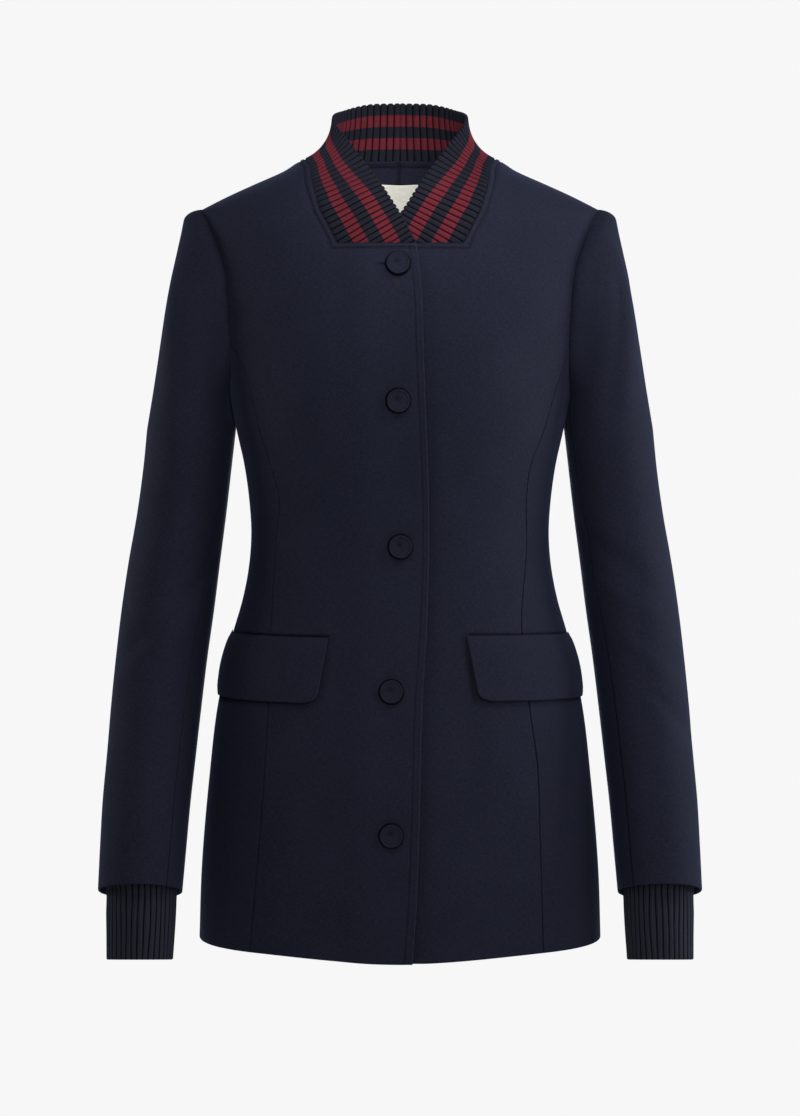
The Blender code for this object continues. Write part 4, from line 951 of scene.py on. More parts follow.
def sleeve_grid(side, half):
    down = sleeve_down()
    front, back = SLEEVE_SEAMS.at("front", down), SLEEVE_SEAMS.at("back", down)
    start, end = (back - 360, front) if half == "upper" else (front, back)
    typical = (end - start).mean() * SLEEVE_MM_A_DEGREE
    width = (end - start) * SLEEVE_MM_A_DEGREE
    by_seam = (SEAM / 2,) + SEWN[1:]
    turn = start[:, None] + stations(width, by_seam, by_seam, typical) / SLEEVE_MM_A_DEGREE
    down = np.broadcast_to(down[:, None], turn.shape)
    plain, normal = sleeve_form(turn, down), sleeve_normal(turn, down)
    creases = [((x0 * SLEEVE_MM_A_DEGREE, z0), (x1 * SLEEVE_MM_A_DEGREE, z1), width, rise)
               for (x0, z0), (x1, z1), width, rise in SLEEVE_CREASES[side]]
    height = plain[..., 2]
    rise = (creased((turn % 360) * SLEEVE_MM_A_DEGREE, height, creases)
            + creased((turn % 360 - 360) * SLEEVE_MM_A_DEGREE, height, creases))
    rise = rise * ease((down - 0.6) / 0.8)

    def place(out):
        return (plain + (rise + over_grid(out, turn))[..., None] * normal) * (side, 1, 1)

    return place


def build_sleeves():
    for side, word in SIDE_NAMES.items():
        for half in ("upper", "under"):
            place = sleeve_grid(side, half)
            front_seam = place(0.0)[:, -1 if half == "upper" else 0]
            # The left sleeve's front seam is pressed in a little, with painted shade along it.
            dips = [(front_seam, 0.3, 1.1, 0.85)] if side == LEFT else []
            sleeve = cloth(f"sleeve_{half}_{word}_crepe", place, LAST_ROW_FOLDED + SIDE_SEAMS, dips=dips)
            hang(sleeve, f"sleeve_{half}_{word}", CREPE, lined=True)


# ---------------------------------------------------------------- rib knit
COLLAR_RIBS, RIB_PITCH, CUFF_PITCH = 57, 5.75, 5.2
WIDE_RIBS, WIDE_PITCH = 10, 7.4                 # the ribs are stretched round the back of the neck
RIB_DEPTH, CUFF_DEPTH, SCALLOP = 1.7, 1.35, 2.3
ACROSS_RIB = (0.0, 0.035, 0.08, 0.15, 0.26, 0.4, 0.6, 0.74, 0.85, 0.92, 0.965)
CUFF_WANDER = ((0.8, 5, 0.05, 0), (0.4, 8, -0.08, 1), (0.2, 17, 0.12, 0))   # degrees, waves, slope, start
COLLAR_WIDTH, COLLAR_SUNK = 57.0, 1.5
COLLAR_SLANT, SIDE_SLANT, BACK_SPREAD, STRIPE_SHIFT, STRIPE_LEAN_AT = 7.5, 11.0, 7.0, 7.2, 42.0
COLLAR_SEWN = (0.0, 0.6, 1.2, 1.6, 2.1, 2.8, 3.8)
COLLAR_FOLD = (0.0, 0.15, 0.45, 0.9, 1.5, 2.4)


def rib_height(share):
    """1 on a rib's crown and 0 in the groove beside it."""
    away = np.abs(share % 1.0 - 0.5) * 2
    return (1 - away ** 3.2) ** 0.8


def cuff_grid(side):
    heights = CUFF_TOP - stations(CUFF_LENGTH, (0.0, 1.0, 2.0), FOLD, CUFF_LENGTH)
    turns = np.array([rib + share for rib in range(CUFF_RIBS) for share in ACROSS_RIB] + [CUFF_RIBS])
    turn, height = np.meshgrid(turns / CUFF_RIBS * 360, heights)
    middle = points_of(CUFF.at("across", height), CUFF.at("away", height), height)
    wander = sum(degrees * np.sin(np.radians(turn * waves) + height * slope + start)
                 for degrees, waves, slope, start in CUFF_WANDER)
    plain = ring_point(CUFF, turn + wander, height)
    outward = unit((plain - middle) * (1, 1, 0))
    crown = rib_height(turn / 360 * CUFF_RIBS)
    uneven = 0.25 * np.sin(turn * 0.61 + height * 0.11) + 0.2 * np.sin(turn * 0.23 - height * 0.07)
    crown_drop = CUFF_DEPTH * (1 - crown) + 0.35 * uneven * ease((height + 700) / 40)

    def place(out):
        """Out of half the wall or more is the inner face, whose ribs face the other way."""
        out = over_grid(out, turn)
        ribbed = np.where(out < -CUFF_RIB / 2 + 0.001, out + 0.5 * crown_drop, out - crown_drop)
        return (plain + ribbed[..., None] * outward) * (side, 1, 1)

    uv = np.stack([turn / 360 * CUFF_RIBS * CUFF_PITCH, height], axis=-1)
    return place, uv


def build_cuffs():
    for side, word in SIDE_NAMES.items():
        place, uv = cuff_grid(side)
        cuff = cloth(f"cuff_{word}_rib", place, LAST_ROW_FOLDED, thickness=CUFF_RIB, closed=True, uv=uv)
        hang(cuff, f"cuff_{word}", CUFF_KNIT)


def collar_base(length):
    """The seamed edge: round the back neck, down the front neckline and straight on."""
    behind = np.minimum(length, BACK_NECK_LENGTH)
    back_angle = -90.0 * (1 - behind / BACK_NECK_LENGTH)
    back = plain_skin(np.minimum(back_angle, -1e-6), BACK_NECKLINE.at("height", back_angle))

    def neckline(down):
        return plain_skin(np.maximum(NECKLINE.at("angle", down), 1e-6), NECKLINE.at("height", down))

    front = neckline(np.clip(length - BACK_NECK_LENGTH, 0, NECKLINE_LENGTH))
    end, before = neckline(NECKLINE_LENGTH), neckline(NECKLINE_LENGTH - 4)
    past = np.maximum(length - BACK_NECK_LENGTH - NECKLINE_LENGTH, 0)[..., None]
    base = np.where((length <= BACK_NECK_LENGTH)[..., None], back, front)
    return np.where(past > 0, end + unit(end - before) * past, base)


def collar_free_edge(length):
    """The free edge; its ribs slant back towards the neck, most at the neck's sides."""
    slid = length - (COLLAR_SLANT * ease((length - 62.0) / 74.0)
                     + SIDE_SLANT * bell(length, 168.0, 38.0)
                     - BACK_SPREAD * bell(length, 58.0, 30.0) * ease(length / 20.0))
    return np.stack([COLLAR_EDGE.at(name, slid) for name in ("across", "away", "height")], -1)


def stripe_shift(length, across):
    """How far the stripes lie towards the seam where the band bends over at the neck's sides."""
    there = ease((length - 112.0) / 70.0) * ease((250.0 - length) / 80.0)
    lean = np.where(across < STRIPE_LEAN_AT, (across / STRIPE_LEAN_AT) ** 0.7,
                    (COLLAR_WIDTH - across) / (COLLAR_WIDTH - STRIPE_LEAN_AT))
    return STRIPE_SHIFT * there * np.maximum(lean, 0)


def collar_skin(length, across):
    length, across = np.broadcast_arrays(np.asarray(length, float), np.asarray(across, float))
    mirror, length = np.where(length < 0, -1, 1), np.abs(length)
    base, edge = collar_base(length), collar_free_edge(length)
    ahead = mix(collar_base(length + 1), collar_free_edge(length + 1), 0.5)
    normal = unit(np.cross(edge - base, ahead - mix(base, edge, 0.5)))
    bow = COLLAR_EDGE.at("bow", length) * 4 * across * (1 - across)
    point = mix(base, edge, across[..., None]) - normal * bow[..., None]
    follow = ease((length - COLLAR_FOLLOWS_BODY_FROM)
                  / (COLLAR_FOLLOWS_BODY_AT - COLLAR_FOLLOWS_BODY_FROM))
    level = np.minimum(point[..., 2], 0.0)
    body = plain_skin(front_angle(point[..., 0], level), level)
    point[..., 1] = mix(point[..., 1], body[..., 1], follow)
    return point * points_of(mirror, 1, 1)


def collar_point(side, length, across, out):
    around = collar_skin(length + 0.5, across) - collar_skin(length - 0.5, across)
    upward = collar_skin(length, across + 0.01) - collar_skin(length, across - 0.01)
    normal = unit(np.cross(upward, around))
    point = collar_skin(length, across)
    out = out + COLLAR_PROUD
    if side == RIGHT:
        crossing = ease((-10 - point[..., 2]) / 40)
        out = out + COLLAR_LIFT_RIGHT * lap_share(point[..., 0]) * crossing
    return point + normal * np.asarray(out)[..., None]


def collar_ends(side, across):
    """The length at which lines along the band meet the level neck seam, by halving."""
    low, high = np.full(across.shape, 200.0), np.full(across.shape, 345.0)
    for _ in range(30):
        middle = (low + high) / 2
        above = collar_point(side, middle, across, -RIB / 2)[..., 2] > NECK_SEAM + SEAM
        low, high = np.where(above, middle, low), np.where(above, high, middle)
    return low


def rib_place(marks):
    """How far round the band a count of ribs from the centre back reaches."""
    return np.minimum(marks, WIDE_RIBS) * WIDE_PITCH + np.maximum(marks - WIDE_RIBS, 0) * RIB_PITCH


def collar_grid():
    """Rows from the seam to the free edge; columns from the right end round to the left end."""
    spread = COLLAR_WIDTH + COLLAR_TUCK
    widths = (stations(spread, COLLAR_SEWN, COLLAR_FOLD, spread) - COLLAR_TUCK) / COLLAR_WIDTH
    half = np.array(sorted({round(rib + share, 4) for rib in range(COLLAR_RIBS)
                            for share in ACROSS_RIB}))
    marks = np.concatenate([-half[::-1], half[1:]])
    left = marks >= 0
    length = rib_place(np.abs(marks))[None, :] * np.ones((len(widths), 1))
    ends = {side: collar_ends(side, widths) + COLLAR_TUCK for side in SIDE_NAMES}
    limit = np.where(left[None, :], ends[LEFT][:, None], ends[RIGHT][:, None])
    cut = length > limit
    length = np.minimum(length, limit)
    crown = rib_height(marks[None, :] * np.ones_like(length))
    scallop = (crown - 1) * SCALLOP * ease((widths[:, None] - 0.93) / 0.07)
    across = widths[:, None] + scallop / COLLAR_WIDTH
    to_seam = np.minimum(across * COLLAR_WIDTH, limit - COLLAR_TUCK - length)
    sunk = COLLAR_SUNK * ease((2.4 - to_seam) / 2.6)

    def place(out):
        """The band sinks towards its seam, and its inner ribs face the other way."""
        out = over_grid(out, length)
        dip = RIB_DEPTH * (1 - crown)
        ribbed = np.where(out < -RIB / 2 + 0.001, out + dip, out - dip - sunk)
        points = {side: collar_point(side, length, across, ribbed) * (side, 1, 1)
                  for side in SIDE_NAMES}
        return np.where(left[None, :, None], points[LEFT], points[RIGHT])

    stripes = across * COLLAR_WIDTH + stripe_shift(length, np.maximum(across, 0) * COLLAR_WIDTH)
    uv = np.stack([marks[None, :] * RIB_PITCH + 0 * length, stripes], axis=-1)
    return place, uv, cut


def build_collar():
    place, uv, cut = collar_grid()
    keep = ~(cut[:-1, :-1] & cut[1:, :-1] & cut[:-1, 1:] & cut[1:, 1:])
    collar = cloth("collar_rib", place, LAST_ROW_FOLDED, thickness=RIB, keep=keep, uv=uv)
    hang(collar, "collar", STRIPED_KNIT)


# ---------------------------------------------------------------- flaps, facing, label, buttons
def flap_grid(side):
    u = stations(FLAP_LENGTH, FOLD, FOLD, FLAP_LENGTH) / FLAP_LENGTH
    v = stations(FLAP_DROP, FOLD, FOLD, FLAP_DROP) / FLAP_DROP
    v, u = np.meshgrid(v, u, indexing="ij")
    from_end = np.minimum(u, 1 - u) * FLAP_LENGTH
    short = np.clip(FLAP_CORNER - from_end, 0, FLAP_CORNER)
    rounding = FLAP_CORNER - np.sqrt(FLAP_CORNER ** 2 - short ** 2)
    height = flap_top(side, u) - FLAP_DROP * v + rounding * v ** 3
    front = mix(FLAP_FRONT_TOP, FLAP_FRONT_BOTTOM, v) + side * FRONT_CENTRE
    angle = mix(front_angle(front, FLAP_TOP - FLAP_DROP * v), FLAP_BACK_ANGLE, u)
    crown = 0.7 * np.sin(math.pi * np.clip(v, 0, 1)) * np.sin(math.pi * u) ** 0.5
    lift = mix(FLAP_LIFT_TOP, mix(FLAP_LIFT_FRONT, FLAP_LIFT_BACK, u), v) + crown * (1 - u)
    lift = lift + u * (FLAP_BULGE * np.sin(math.pi * v) - FLAP_TURN_IN * ease((v - 0.88) / 0.12))

    def place(out):
        out = over_grid(out, u)
        pressed = FLAP_PRESS * ease(1 - v * FLAP_DROP / 9) * (out > -FLAP_THICKNESS / 2)
        return on_body(side, angle, height, lift + FLAP_THICKNESS + out - pressed) * (side, 1, 1)

    return place


def build_flaps():
    for side, word in SIDE_NAMES.items():
        flap = cloth(f"flap_{word}_crepe", flap_grid(side), FOLDED_ALL_ROUND, thickness=FLAP_THICKNESS)
        hang(flap, f"flap_{word}", CREPE)


def facing_grid():
    """The facing inside the back neck, across both backs, with the centre back seam."""
    back, drop = 180.0, 90.0        # about what the facing and the back take up, which sets the rows
    half = back * BACK_NECK_SHARE
    columns = np.concatenate([-stations(half, (0.0,), SEWN, half)[::-1][:-1] / back,
                              stations(half, SEWN, (0.0,), half) / back])
    rows = stations(drop, (0.0,), FACING_SEWN, drop) / drop
    v, u = np.meshgrid(rows, np.sort(columns), indexing="ij")
    angle, height = back_shoulder(np.abs(u), v)
    angle = np.where(np.abs(u) < 1e-9, -90.0, angle)
    sign = np.where(u < 0, -1, 1)

    def place(out):
        point = on_body(LEFT, angle, height, over_grid(out, u) - CLOTH - FACING_GAP)
        point[..., 0] = point[..., 0] * sign
        return point

    return place


def build_inside_neck():
    """The facing, with its centre back seam and its stitch line pressed in and painted shade along them,
    and the label.
    """
    place = facing_grid()
    face, inner = place(0.0), place(-FACING_THICKNESS)
    centre = face.shape[1] // 2
    pressed = bell(near_to(inner, [inner[:, centre], inner[FACING_STITCH_ROW]]), 0, 0.8)
    inward = unit(inner - face)
    # Painted shade along the pressed-in seam and stitch line.
    facing = wall_mesh("back_neck_facing", inner - inward * 0.6 * pressed[..., None], face,
                       laid_flat(face), groove=0.7 * pressed)
    hang(facing, "back_facing", CREPE)
    sew_along("facing_stitches", inner[FACING_STITCH_ROW, 6:-6], inward[FACING_STITCH_ROW, 6:-6])
    place_label()


def place_label():
    """A plain woven label with nothing on it."""
    fold, width = (0.0, 0.2, 0.5, 1.2), 2 * LABEL_HALF_WIDTH
    across = -LABEL_HALF_WIDTH + stations(width, fold, fold, width)
    drop = stations(LABEL_DROP, fold, fold, LABEL_DROP)
    drop, across = np.meshgrid(drop, across, indexing="ij")
    height = LABEL_TOP - LABEL_DIP * (1 - np.abs(across) / LABEL_HALF_WIDTH) - drop
    angle = -front_angle(across, height)
    base = -CLOTH - FACING_GAP - FACING_THICKNESS - LABEL_GAP

    def place(out):
        return on_body(LEFT, angle, height, base + over_grid(out, across))

    label = cloth("neck_label", place, FOLDED_ALL_ROUND, thickness=LABEL_THICKNESS)
    hang(label, "label", LABEL_SATIN)


# A button from its middle to its back: the share of its radius and the height from its rim.
BUTTON_PROFILE = [(0.0, -0.85), (0.12, -0.84), (0.25, -0.8), (0.4, -0.74), (0.55, -0.66), (0.68, -0.56),
                  (0.75, -0.46), (0.79, -0.28), (0.83, -0.08), (0.865, 0.0), (0.9, -0.1),
                  (0.93, -0.35), (0.96, -0.75), (0.985, -1.25), (1.0, -1.9), (1.02, -2.5),
                  (1.05, -3.1), (1.0, -3.4)]
BUTTON_TURNS = 64
DIMPLE_ACROSS, DIMPLE_UP, DIMPLE_WIDTH = 0.1, 0.14, 0.045


def button_points(seat, axes, lift, phase):
    """Rings of points from a button's middle to its back, with the painted shade at each: darker in the
    dish, the dimple and round the outside of the rim, with a painted highlight on the rim.
    """
    sideways, upward, normal = axes
    spin = np.radians(np.arange(BUTTON_TURNS) * 360 / BUTTON_TURNS)
    around = np.cos(spin)[:, None] * sideways + np.sin(spin)[:, None] * upward
    rings, grooves = [], [0.25]
    for share, depth in BUTTON_PROFILE:
        wavy = 1 + 0.006 * np.sin(spin * 5 + phase) * (share > 0.7)
        off_dimple = ((share * np.cos(spin) - DIMPLE_ACROSS) ** 2
                      + (share * np.sin(spin) - DIMPLE_UP) ** 2)
        dimple = 0.75 * np.exp(-off_dimple / DIMPLE_WIDTH)
        rise = lift + BUTTON_HEIGHT + depth - dimple
        rings.append(seat + normal * rise[:, None] + BUTTON_RADIUS * (share * wavy)[:, None] * around)
        if share > 0:
            # Painted shade round the outside of the rim and in the dimple, and a painted highlight on the
            # rim.
            beside_rim = 0.3 * bell(share, 0.77, 0.04) + 1.3 * ease((share - 0.88) / 0.07)
            grooves += list(beside_rim - EDGE_HIGHLIGHT * bell(share, 0.865, 0.03) + 0.85 * dimple)
    points = np.vstack([rings[0][:1]] + rings[1:] + [seat[None] + normal * lift])
    return points, np.array(grooves + [1.0])


def button_faces(last):
    """Triangles at the middle and the back, and quads between the rings."""
    turns = BUTTON_TURNS
    faces = [(0, 1 + (i + 1) % turns, 1 + i) for i in range(turns)]
    for start in range(1, last - turns, turns):
        faces += [(start + i, start + (i + 1) % turns, start + turns + (i + 1) % turns,
                   start + turns + i) for i in range(turns)]
    start = last - turns
    faces += [(start + i, start + (i + 1) % turns, last) for i in range(turns)]
    return [face[::-1] for face in faces]


def build_buttons():
    """Buttons covered in the crepe: a rolled rim round a dished middle."""
    for name, (across, height) in BUTTONS.items():
        angle = front_angle(-across, height)
        seat = on_body(RIGHT, angle, height, LAP)
        normal = unit(on_body(RIGHT, angle, height, LAP + 1) - seat)
        seat, normal = seat * (RIGHT, 1, 1), normal * (RIGHT, 1, 1)
        low, high = (np.array(corner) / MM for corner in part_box(name))
        lift = float(np.dot((low + high) / 2 - seat, normal)) - BUTTON_HEIGHT / 2
        sideways = unit(np.cross(normal, (0, 0, 1)))
        upward = np.cross(sideways, normal)
        points, grooves = button_points(seat, (sideways, upward, normal), lift, height)
        mesh = bpy.data.meshes.new(f"covered_{name}")
        mesh.from_pydata((points * MM).tolist(), [], button_faces(len(points) - 1))
        flat = np.stack([(points - seat) @ sideways, (points - seat) @ upward], axis=-1) * MM
        corners = np.zeros(len(mesh.loops), dtype=np.int32)
        mesh.loops.foreach_get("vertex_index", corners)
        mesh.uv_layers.new(name="cloth").data.foreach_set("uv", flat[corners].reshape(-1))
        mesh.attributes.new("groove", "FLOAT", "POINT").data.foreach_set("value", grooves)
        mesh.shade_smooth()
        finish_cloth(put_in_scene(f"covered_{name}", mesh), name, BUTTON_CREPE)


def buttonhole_lines():
    """The bound slits that the buttons come through, each running back from its button."""
    lines = []
    for across, height in BUTTONS.values():
        reach = np.linspace(across - HOLE_FROM, across + HOLE_TO, 40)
        level = np.full(40, height)
        lines.append(on_body(RIGHT, front_angle(-reach, level), level, LAP) * (RIGHT, 1, 1))
    return lines


# ---------------------------------------------------------------- thread
def thread_mesh(name, starts, ends, normals):
    """Stitches as short sunk beads of thread, from each start to each end."""
    shape = ((0.0, 0.35), (0.22, 1.0), (0.78, 1.0), (1.0, 0.35))       # share along, share of radius
    sides, radius = 6, THREAD_RADIUS
    points, faces = [], []
    for start, end, normal in zip(starts, ends, normals):
        aside = unit(np.cross(end - start, normal))
        first = len(points)
        for along, width in shape:
            middle = mix(start, end, along) - normal * radius * (1 - width) * 0.8
            for i in range(sides):
                turn = 2 * math.pi * i / sides
                points.append(middle + radius * width * (math.cos(turn) * aside
                                                         + math.sin(turn) * normal))
        for ring in range(len(shape) - 1):
            at = first + ring * sides
            faces += [(at + i, at + (i + 1) % sides, at + sides + (i + 1) % sides, at + sides + i)
                      for i in range(sides)]
        faces += [tuple(first + i for i in reversed(range(sides))),
                  tuple(first + (len(shape) - 1) * sides + i for i in range(sides))]
    mesh = bpy.data.meshes.new(name)
    mesh.from_pydata((np.array(points) * MM).tolist(), [], faces)
    mesh.shade_smooth()
    stitches = put_in_scene(name, mesh)
    stitches.data.materials.append(THREAD)
    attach(stitches, "root")


def sew_along(name, line, normals):
    """A row of topstitches along a line of points on the cloth."""
    steps = np.linalg.norm(np.diff(line, axis=0), axis=-1)
    travelled = np.concatenate([[0.0], np.cumsum(steps)])
    count = int(travelled[-1] / STITCH_PITCH)

    def at(values, distance):
        return np.stack([np.interp(distance, travelled, values[:, k]) for k in range(3)], axis=-1)

    begin = np.arange(count) * STITCH_PITCH
    normal = unit(at(normals, begin))
    sunk = normal * (STITCH_DEPTH - 0.02)
    starts, ends = at(line, begin) - sunk, at(line, begin + STITCH_LENGTH) - sunk
    thread_mesh(name, starts, ends, normal)


# ---------------------------------------------------------------- materials
def linear(hex_colour):
    """An sRGB hex colour as linear red, green, blue and alpha."""
    values = [int(hex_colour[i:i + 2], 16) / 255 for i in (1, 3, 5)]
    return tuple(v / 12.92 if v <= 0.04045 else ((v + 0.055) / 1.055) ** 2.4 for v in values) + (1.0,)


def add(tree, kind, inputs=(), **settings):
    """Adds a node, sets it up and links or fills its inputs, given as (socket, value) pairs."""
    node = tree.nodes.new(kind)
    for name, value in settings.items():
        setattr(node, name, value)
    for socket, value in inputs:
        if isinstance(value, bpy.types.NodeSocket):
            tree.links.new(value, node.inputs[socket])
        else:
            node.inputs[socket].default_value = value
    return node


def new_material(name, roughness, specular, sheen=0.0, sheen_roughness=0.5, sheen_tint="#ffffff"):
    material = bpy.data.materials.new(name)
    material.use_nodes = True
    tree = material.node_tree
    shader = tree.nodes["Principled BSDF"]
    shader.inputs["Roughness"].default_value = roughness
    shader.inputs["Specular IOR Level"].default_value = specular
    shader.inputs["Sheen Weight"].default_value = sheen
    shader.inputs["Sheen Roughness"].default_value = sheen_roughness
    shader.inputs["Sheen Tint"].default_value = linear(sheen_tint)
    return material, tree, shader


def dress(tree, shader, colour, shade, height, strength, distance):
    """Gives a cloth's shader its colour, made darker or lighter, and a bump from a height."""
    shaded = add(tree, "ShaderNodeVectorMath", [(0, colour), ("Scale", shade)], operation="SCALE")
    tree.links.new(shaded.outputs[0], shader.inputs["Base Color"])
    bump = add(tree, "ShaderNodeBump", [("Height", height), ("Strength", strength),
                                        ("Distance", distance)])
    tree.links.new(bump.outputs[0], shader.inputs["Normal"])


# How often the crepe changes in a metre: across a thread, along it, and slowly in its colour.
THREADS, SLUBS, PATCHES = 820.0, 240.0, 22.0


def crepe(name, dark, light, sheen):
    """Double crepe, a matte wool with a pebbled weave. Its threads are 0.5 mm apart, drawn 1.2 mm
    apart so that they show; they break up the light and give no gloss."""
    material, tree, shader = new_material(name, 0.85, 0.08, sheen, 0.35, "#8f9ccc")
    cloth_uv = add(tree, "ShaderNodeUVMap", uv_map="cloth").outputs["UV"]
    threads = []
    for scale in ((THREADS, SLUBS, 1.0), (SLUBS, THREADS, 1.0)):
        along = add(tree, "ShaderNodeMapping", [("Vector", cloth_uv), ("Scale", scale)])
        threads.append(add(tree, "ShaderNodeTexNoise", [
            ("Vector", along.outputs[0]), ("Scale", 1.0), ("Detail", 2.0), ("Roughness", 0.6)]))
    warp, weft = (thread.outputs["Fac"] for thread in threads)
    weave = add(tree, "ShaderNodeMath", [(0, warp), (1, weft)], operation="ADD").outputs[0]
    drift = add(tree, "ShaderNodeTexNoise", [("Vector", cloth_uv), ("Scale", PATCHES),
                                             ("Detail", 3.0), ("Roughness", 0.5)])
    both = add(tree, "ShaderNodeMath", [(0, drift.outputs["Fac"]), (1, 0.35), (2, weave)],
               operation="MULTIPLY_ADD")
    spread = add(tree, "ShaderNodeMapRange", [("Value", both.outputs[0]), ("From Min", 0.62),
                                              ("From Max", 1.83)])
    colour = add(tree, "ShaderNodeMix", [("Factor", spread.outputs[0]), (6, linear(dark)),
                                         (7, linear(light))], data_type="RGBA")
    # The groove attribute is painted shade, as less light gets into a groove or beside a lapping edge or
    # a flap; a rolled edge or a button's rim has it below 0, a painted highlight.
    groove = add(tree, "ShaderNodeAttribute", attribute_name="groove").outputs["Fac"]
    kept = add(tree, "ShaderNodeMapRange", [("Value", groove), ("To Min", 1.0), ("To Max", 0.3)],
               clamp=False)
    dress(tree, shader, colour.outputs[2], kept.outputs[0], weave, 0.35, 0.00025)
    return material


LOOP = 1.8                  # the height of a knitted loop, in millimetres
BAND, BANDS = 11.2, 5       # a stripe's width in millimetres, and how many there are
HELD = 1.0                  # the stripes end this far in, so that the fuzz starts no sixth one
FUZZ, FUZZ_REACH = 900.0, 0.0014    # tufts of fuzz to a metre, and how far they shift an edge


def knitted_loops(tree, across, along, fuzz, pitch):
    """V-shaped loops, two columns to a rib, under the wool's fuzz."""
    slant = add(tree, "ShaderNodeMath", [(0, across), (1, pitch * MM / 4)], operation="PINGPONG")
    leg = add(tree, "ShaderNodeMath", [(0, slant.outputs[0]), (1, 0.9), (2, along)],
              operation="MULTIPLY_ADD")
    leg_turn = add(tree, "ShaderNodeMath", [(0, leg.outputs[0]), (1, 2 * math.pi / (LOOP * MM))],
                   operation="MULTIPLY")
    loops = add(tree, "ShaderNodeMath", [(0, leg_turn.outputs[0])], operation="SINE")
    return add(tree, "ShaderNodeMath", [(0, loops.outputs[0]), (1, 0.16), (2, fuzz)],
               operation="MULTIPLY_ADD").outputs[0]


def between_ribs(tree, across, pitch):
    """Painted shade for the knit: 1 on the ribs, and nearly 0 in the grooves between them."""
    rib_turn = add(tree, "ShaderNodeMath", [(0, across), (1, math.pi / (pitch * MM))],
                   operation="MULTIPLY")
    crown = add(tree, "ShaderNodeMath", [(0, rib_turn.outputs[0])], operation="SINE")
    crown = add(tree, "ShaderNodeMath", [(0, crown.outputs[0])], operation="ABSOLUTE")
    return add(tree, "ShaderNodeMapRange", [("Value", crown.outputs[0]), ("From Min", 0.08),
                                            ("From Max", 0.5), ("To Min", 0.03)]).outputs[0]


def striped(tree, along, fuzz, ground, stripe):
    """Even bands across the width, with edges that wander a little with the fuzz."""
    width, end = BANDS * BAND * MM, HELD * MM
    held = add(tree, "ShaderNodeMapRange", [("Value", along), ("From Min", end),
                                            ("From Max", width - end), ("To Min", 0.0),
                                            ("To Max", width - 2 * end)])
    wander = add(tree, "ShaderNodeMath", [(0, fuzz), (1, FUZZ_REACH), (2, held.outputs[0])],
                 operation="MULTIPLY_ADD")
    bands = add(tree, "ShaderNodeMath", [(0, wander.outputs[0]), (1, math.pi / (BAND * MM))],
                operation="MULTIPLY")
    wave = add(tree, "ShaderNodeMath", [(0, bands.outputs[0])], operation="SINE")
    edge = add(tree, "ShaderNodeMapRange", [("Value", wave.outputs[0]), ("From Min", 0.1),
                                            ("From Max", -0.1)])
    return add(tree, "ShaderNodeMix", [("Factor", edge.outputs[0]), (6, linear(ground)),
                                       (7, linear(stripe))], data_type="RGBA").outputs[2]


def knit(name, ground, stripe, pitch, sheen):
    """Rib knit in a wool blend: soft, hairy and matt, with painted shade in the grooves between its ribs.
    """
    material, tree, shader = new_material(name, 0.9, 0.08, sheen, 0.5, "#9aa6cc")
    cloth_uv = add(tree, "ShaderNodeUVMap", uv_map="cloth").outputs["UV"]
    parts = add(tree, "ShaderNodeSeparateXYZ", [("Vector", cloth_uv)])
    across, along = parts.outputs["X"], parts.outputs["Y"]
    fuzz = add(tree, "ShaderNodeTexNoise", [("Vector", cloth_uv), ("Scale", FUZZ), ("Detail", 3.0),
                                            ("Roughness", 0.7)]).outputs["Fac"]
    texture = knitted_loops(tree, across, along, fuzz, pitch)
    shade = add(tree, "ShaderNodeMapRange", [("Value", texture), ("From Min", 0.2), ("From Max", 0.8),
                                             ("To Min", 0.6), ("To Max", 1.35)])
    shade = add(tree, "ShaderNodeMath", [(0, shade.outputs[0]), (1, between_ribs(tree, across, pitch))],
                operation="MULTIPLY")
    colour = striped(tree, along, fuzz, ground, stripe) if stripe else linear(ground)[:3]
    dress(tree, shader, colour, shade.outputs[0], texture, 0.5, 0.0004)
    return material


STREAKS = 200.0             # a thread's streaks to a metre, along it


def smooth_cloth(name, colour, roughness, threads, specular):
    """Satin or sewing thread: fine, close and a little glossy, with a faint line to the weave.

    Real threads are about 0.1 mm apart. They are drawn 0.7 to 1.1 mm apart so that they show.
    """
    material, tree, shader = new_material(name, roughness, specular)
    place = add(tree, "ShaderNodeTexCoord").outputs["Object"]
    lines = add(tree, "ShaderNodeMapping", [("Vector", place), ("Scale", (STREAKS, STREAKS, threads))])
    noise = add(tree, "ShaderNodeTexNoise", [("Vector", lines.outputs[0]), ("Scale", 1.0),
                                             ("Detail", 2.0)]).outputs["Fac"]
    shade = add(tree, "ShaderNodeMapRange", [("Value", noise), ("From Min", 0.3), ("From Max", 0.7),
                                             ("To Min", 0.9), ("To Max", 1.08)])
    dress(tree, shader, linear(colour)[:3], shade.outputs[0], noise, 0.25, 0.0001)
    return material


CREPE = crepe("navy_double_crepe", "#191b26", "#2b2e41", 0.16)
# The same crepe drawn tight over the buttons, which leaves it less nap.
BUTTON_CREPE = crepe("navy_button_crepe", "#191b26", "#2a2d3f", 0.02)
STRIPED_KNIT = knit("striped_wool_rib", "#20212b", "#68252f", RIB_PITCH, 0.05)
CUFF_KNIT = knit("navy_wool_rib", "#2d2f3a", None, CUFF_PITCH, 0.04)
# Lining satin has the most shine of them, and the label's is woven closer and looks drier.
LINING = smooth_cloth("navy_satin_lining", "#23253a", 0.42, 900.0, 0.5)
LABEL_SATIN = smooth_cloth("cream_label_satin", "#efece0", 0.55, 1400.0, 0.4)
THREAD = smooth_cloth("navy_sewing_thread", "#1b1d2a", 0.6, 1200.0, 0.35)


def finish_cloth(thing, node, material):
    thing.data.materials.append(material)
    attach(thing, "root")
    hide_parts(node)


def hang(thing, node, material, lined=False):
    """Finishes a sheet that hangs from another piece, and lines its inside if it is lined."""
    finish_cloth(thing, node, material)
    if lined:
        line_inside(thing)


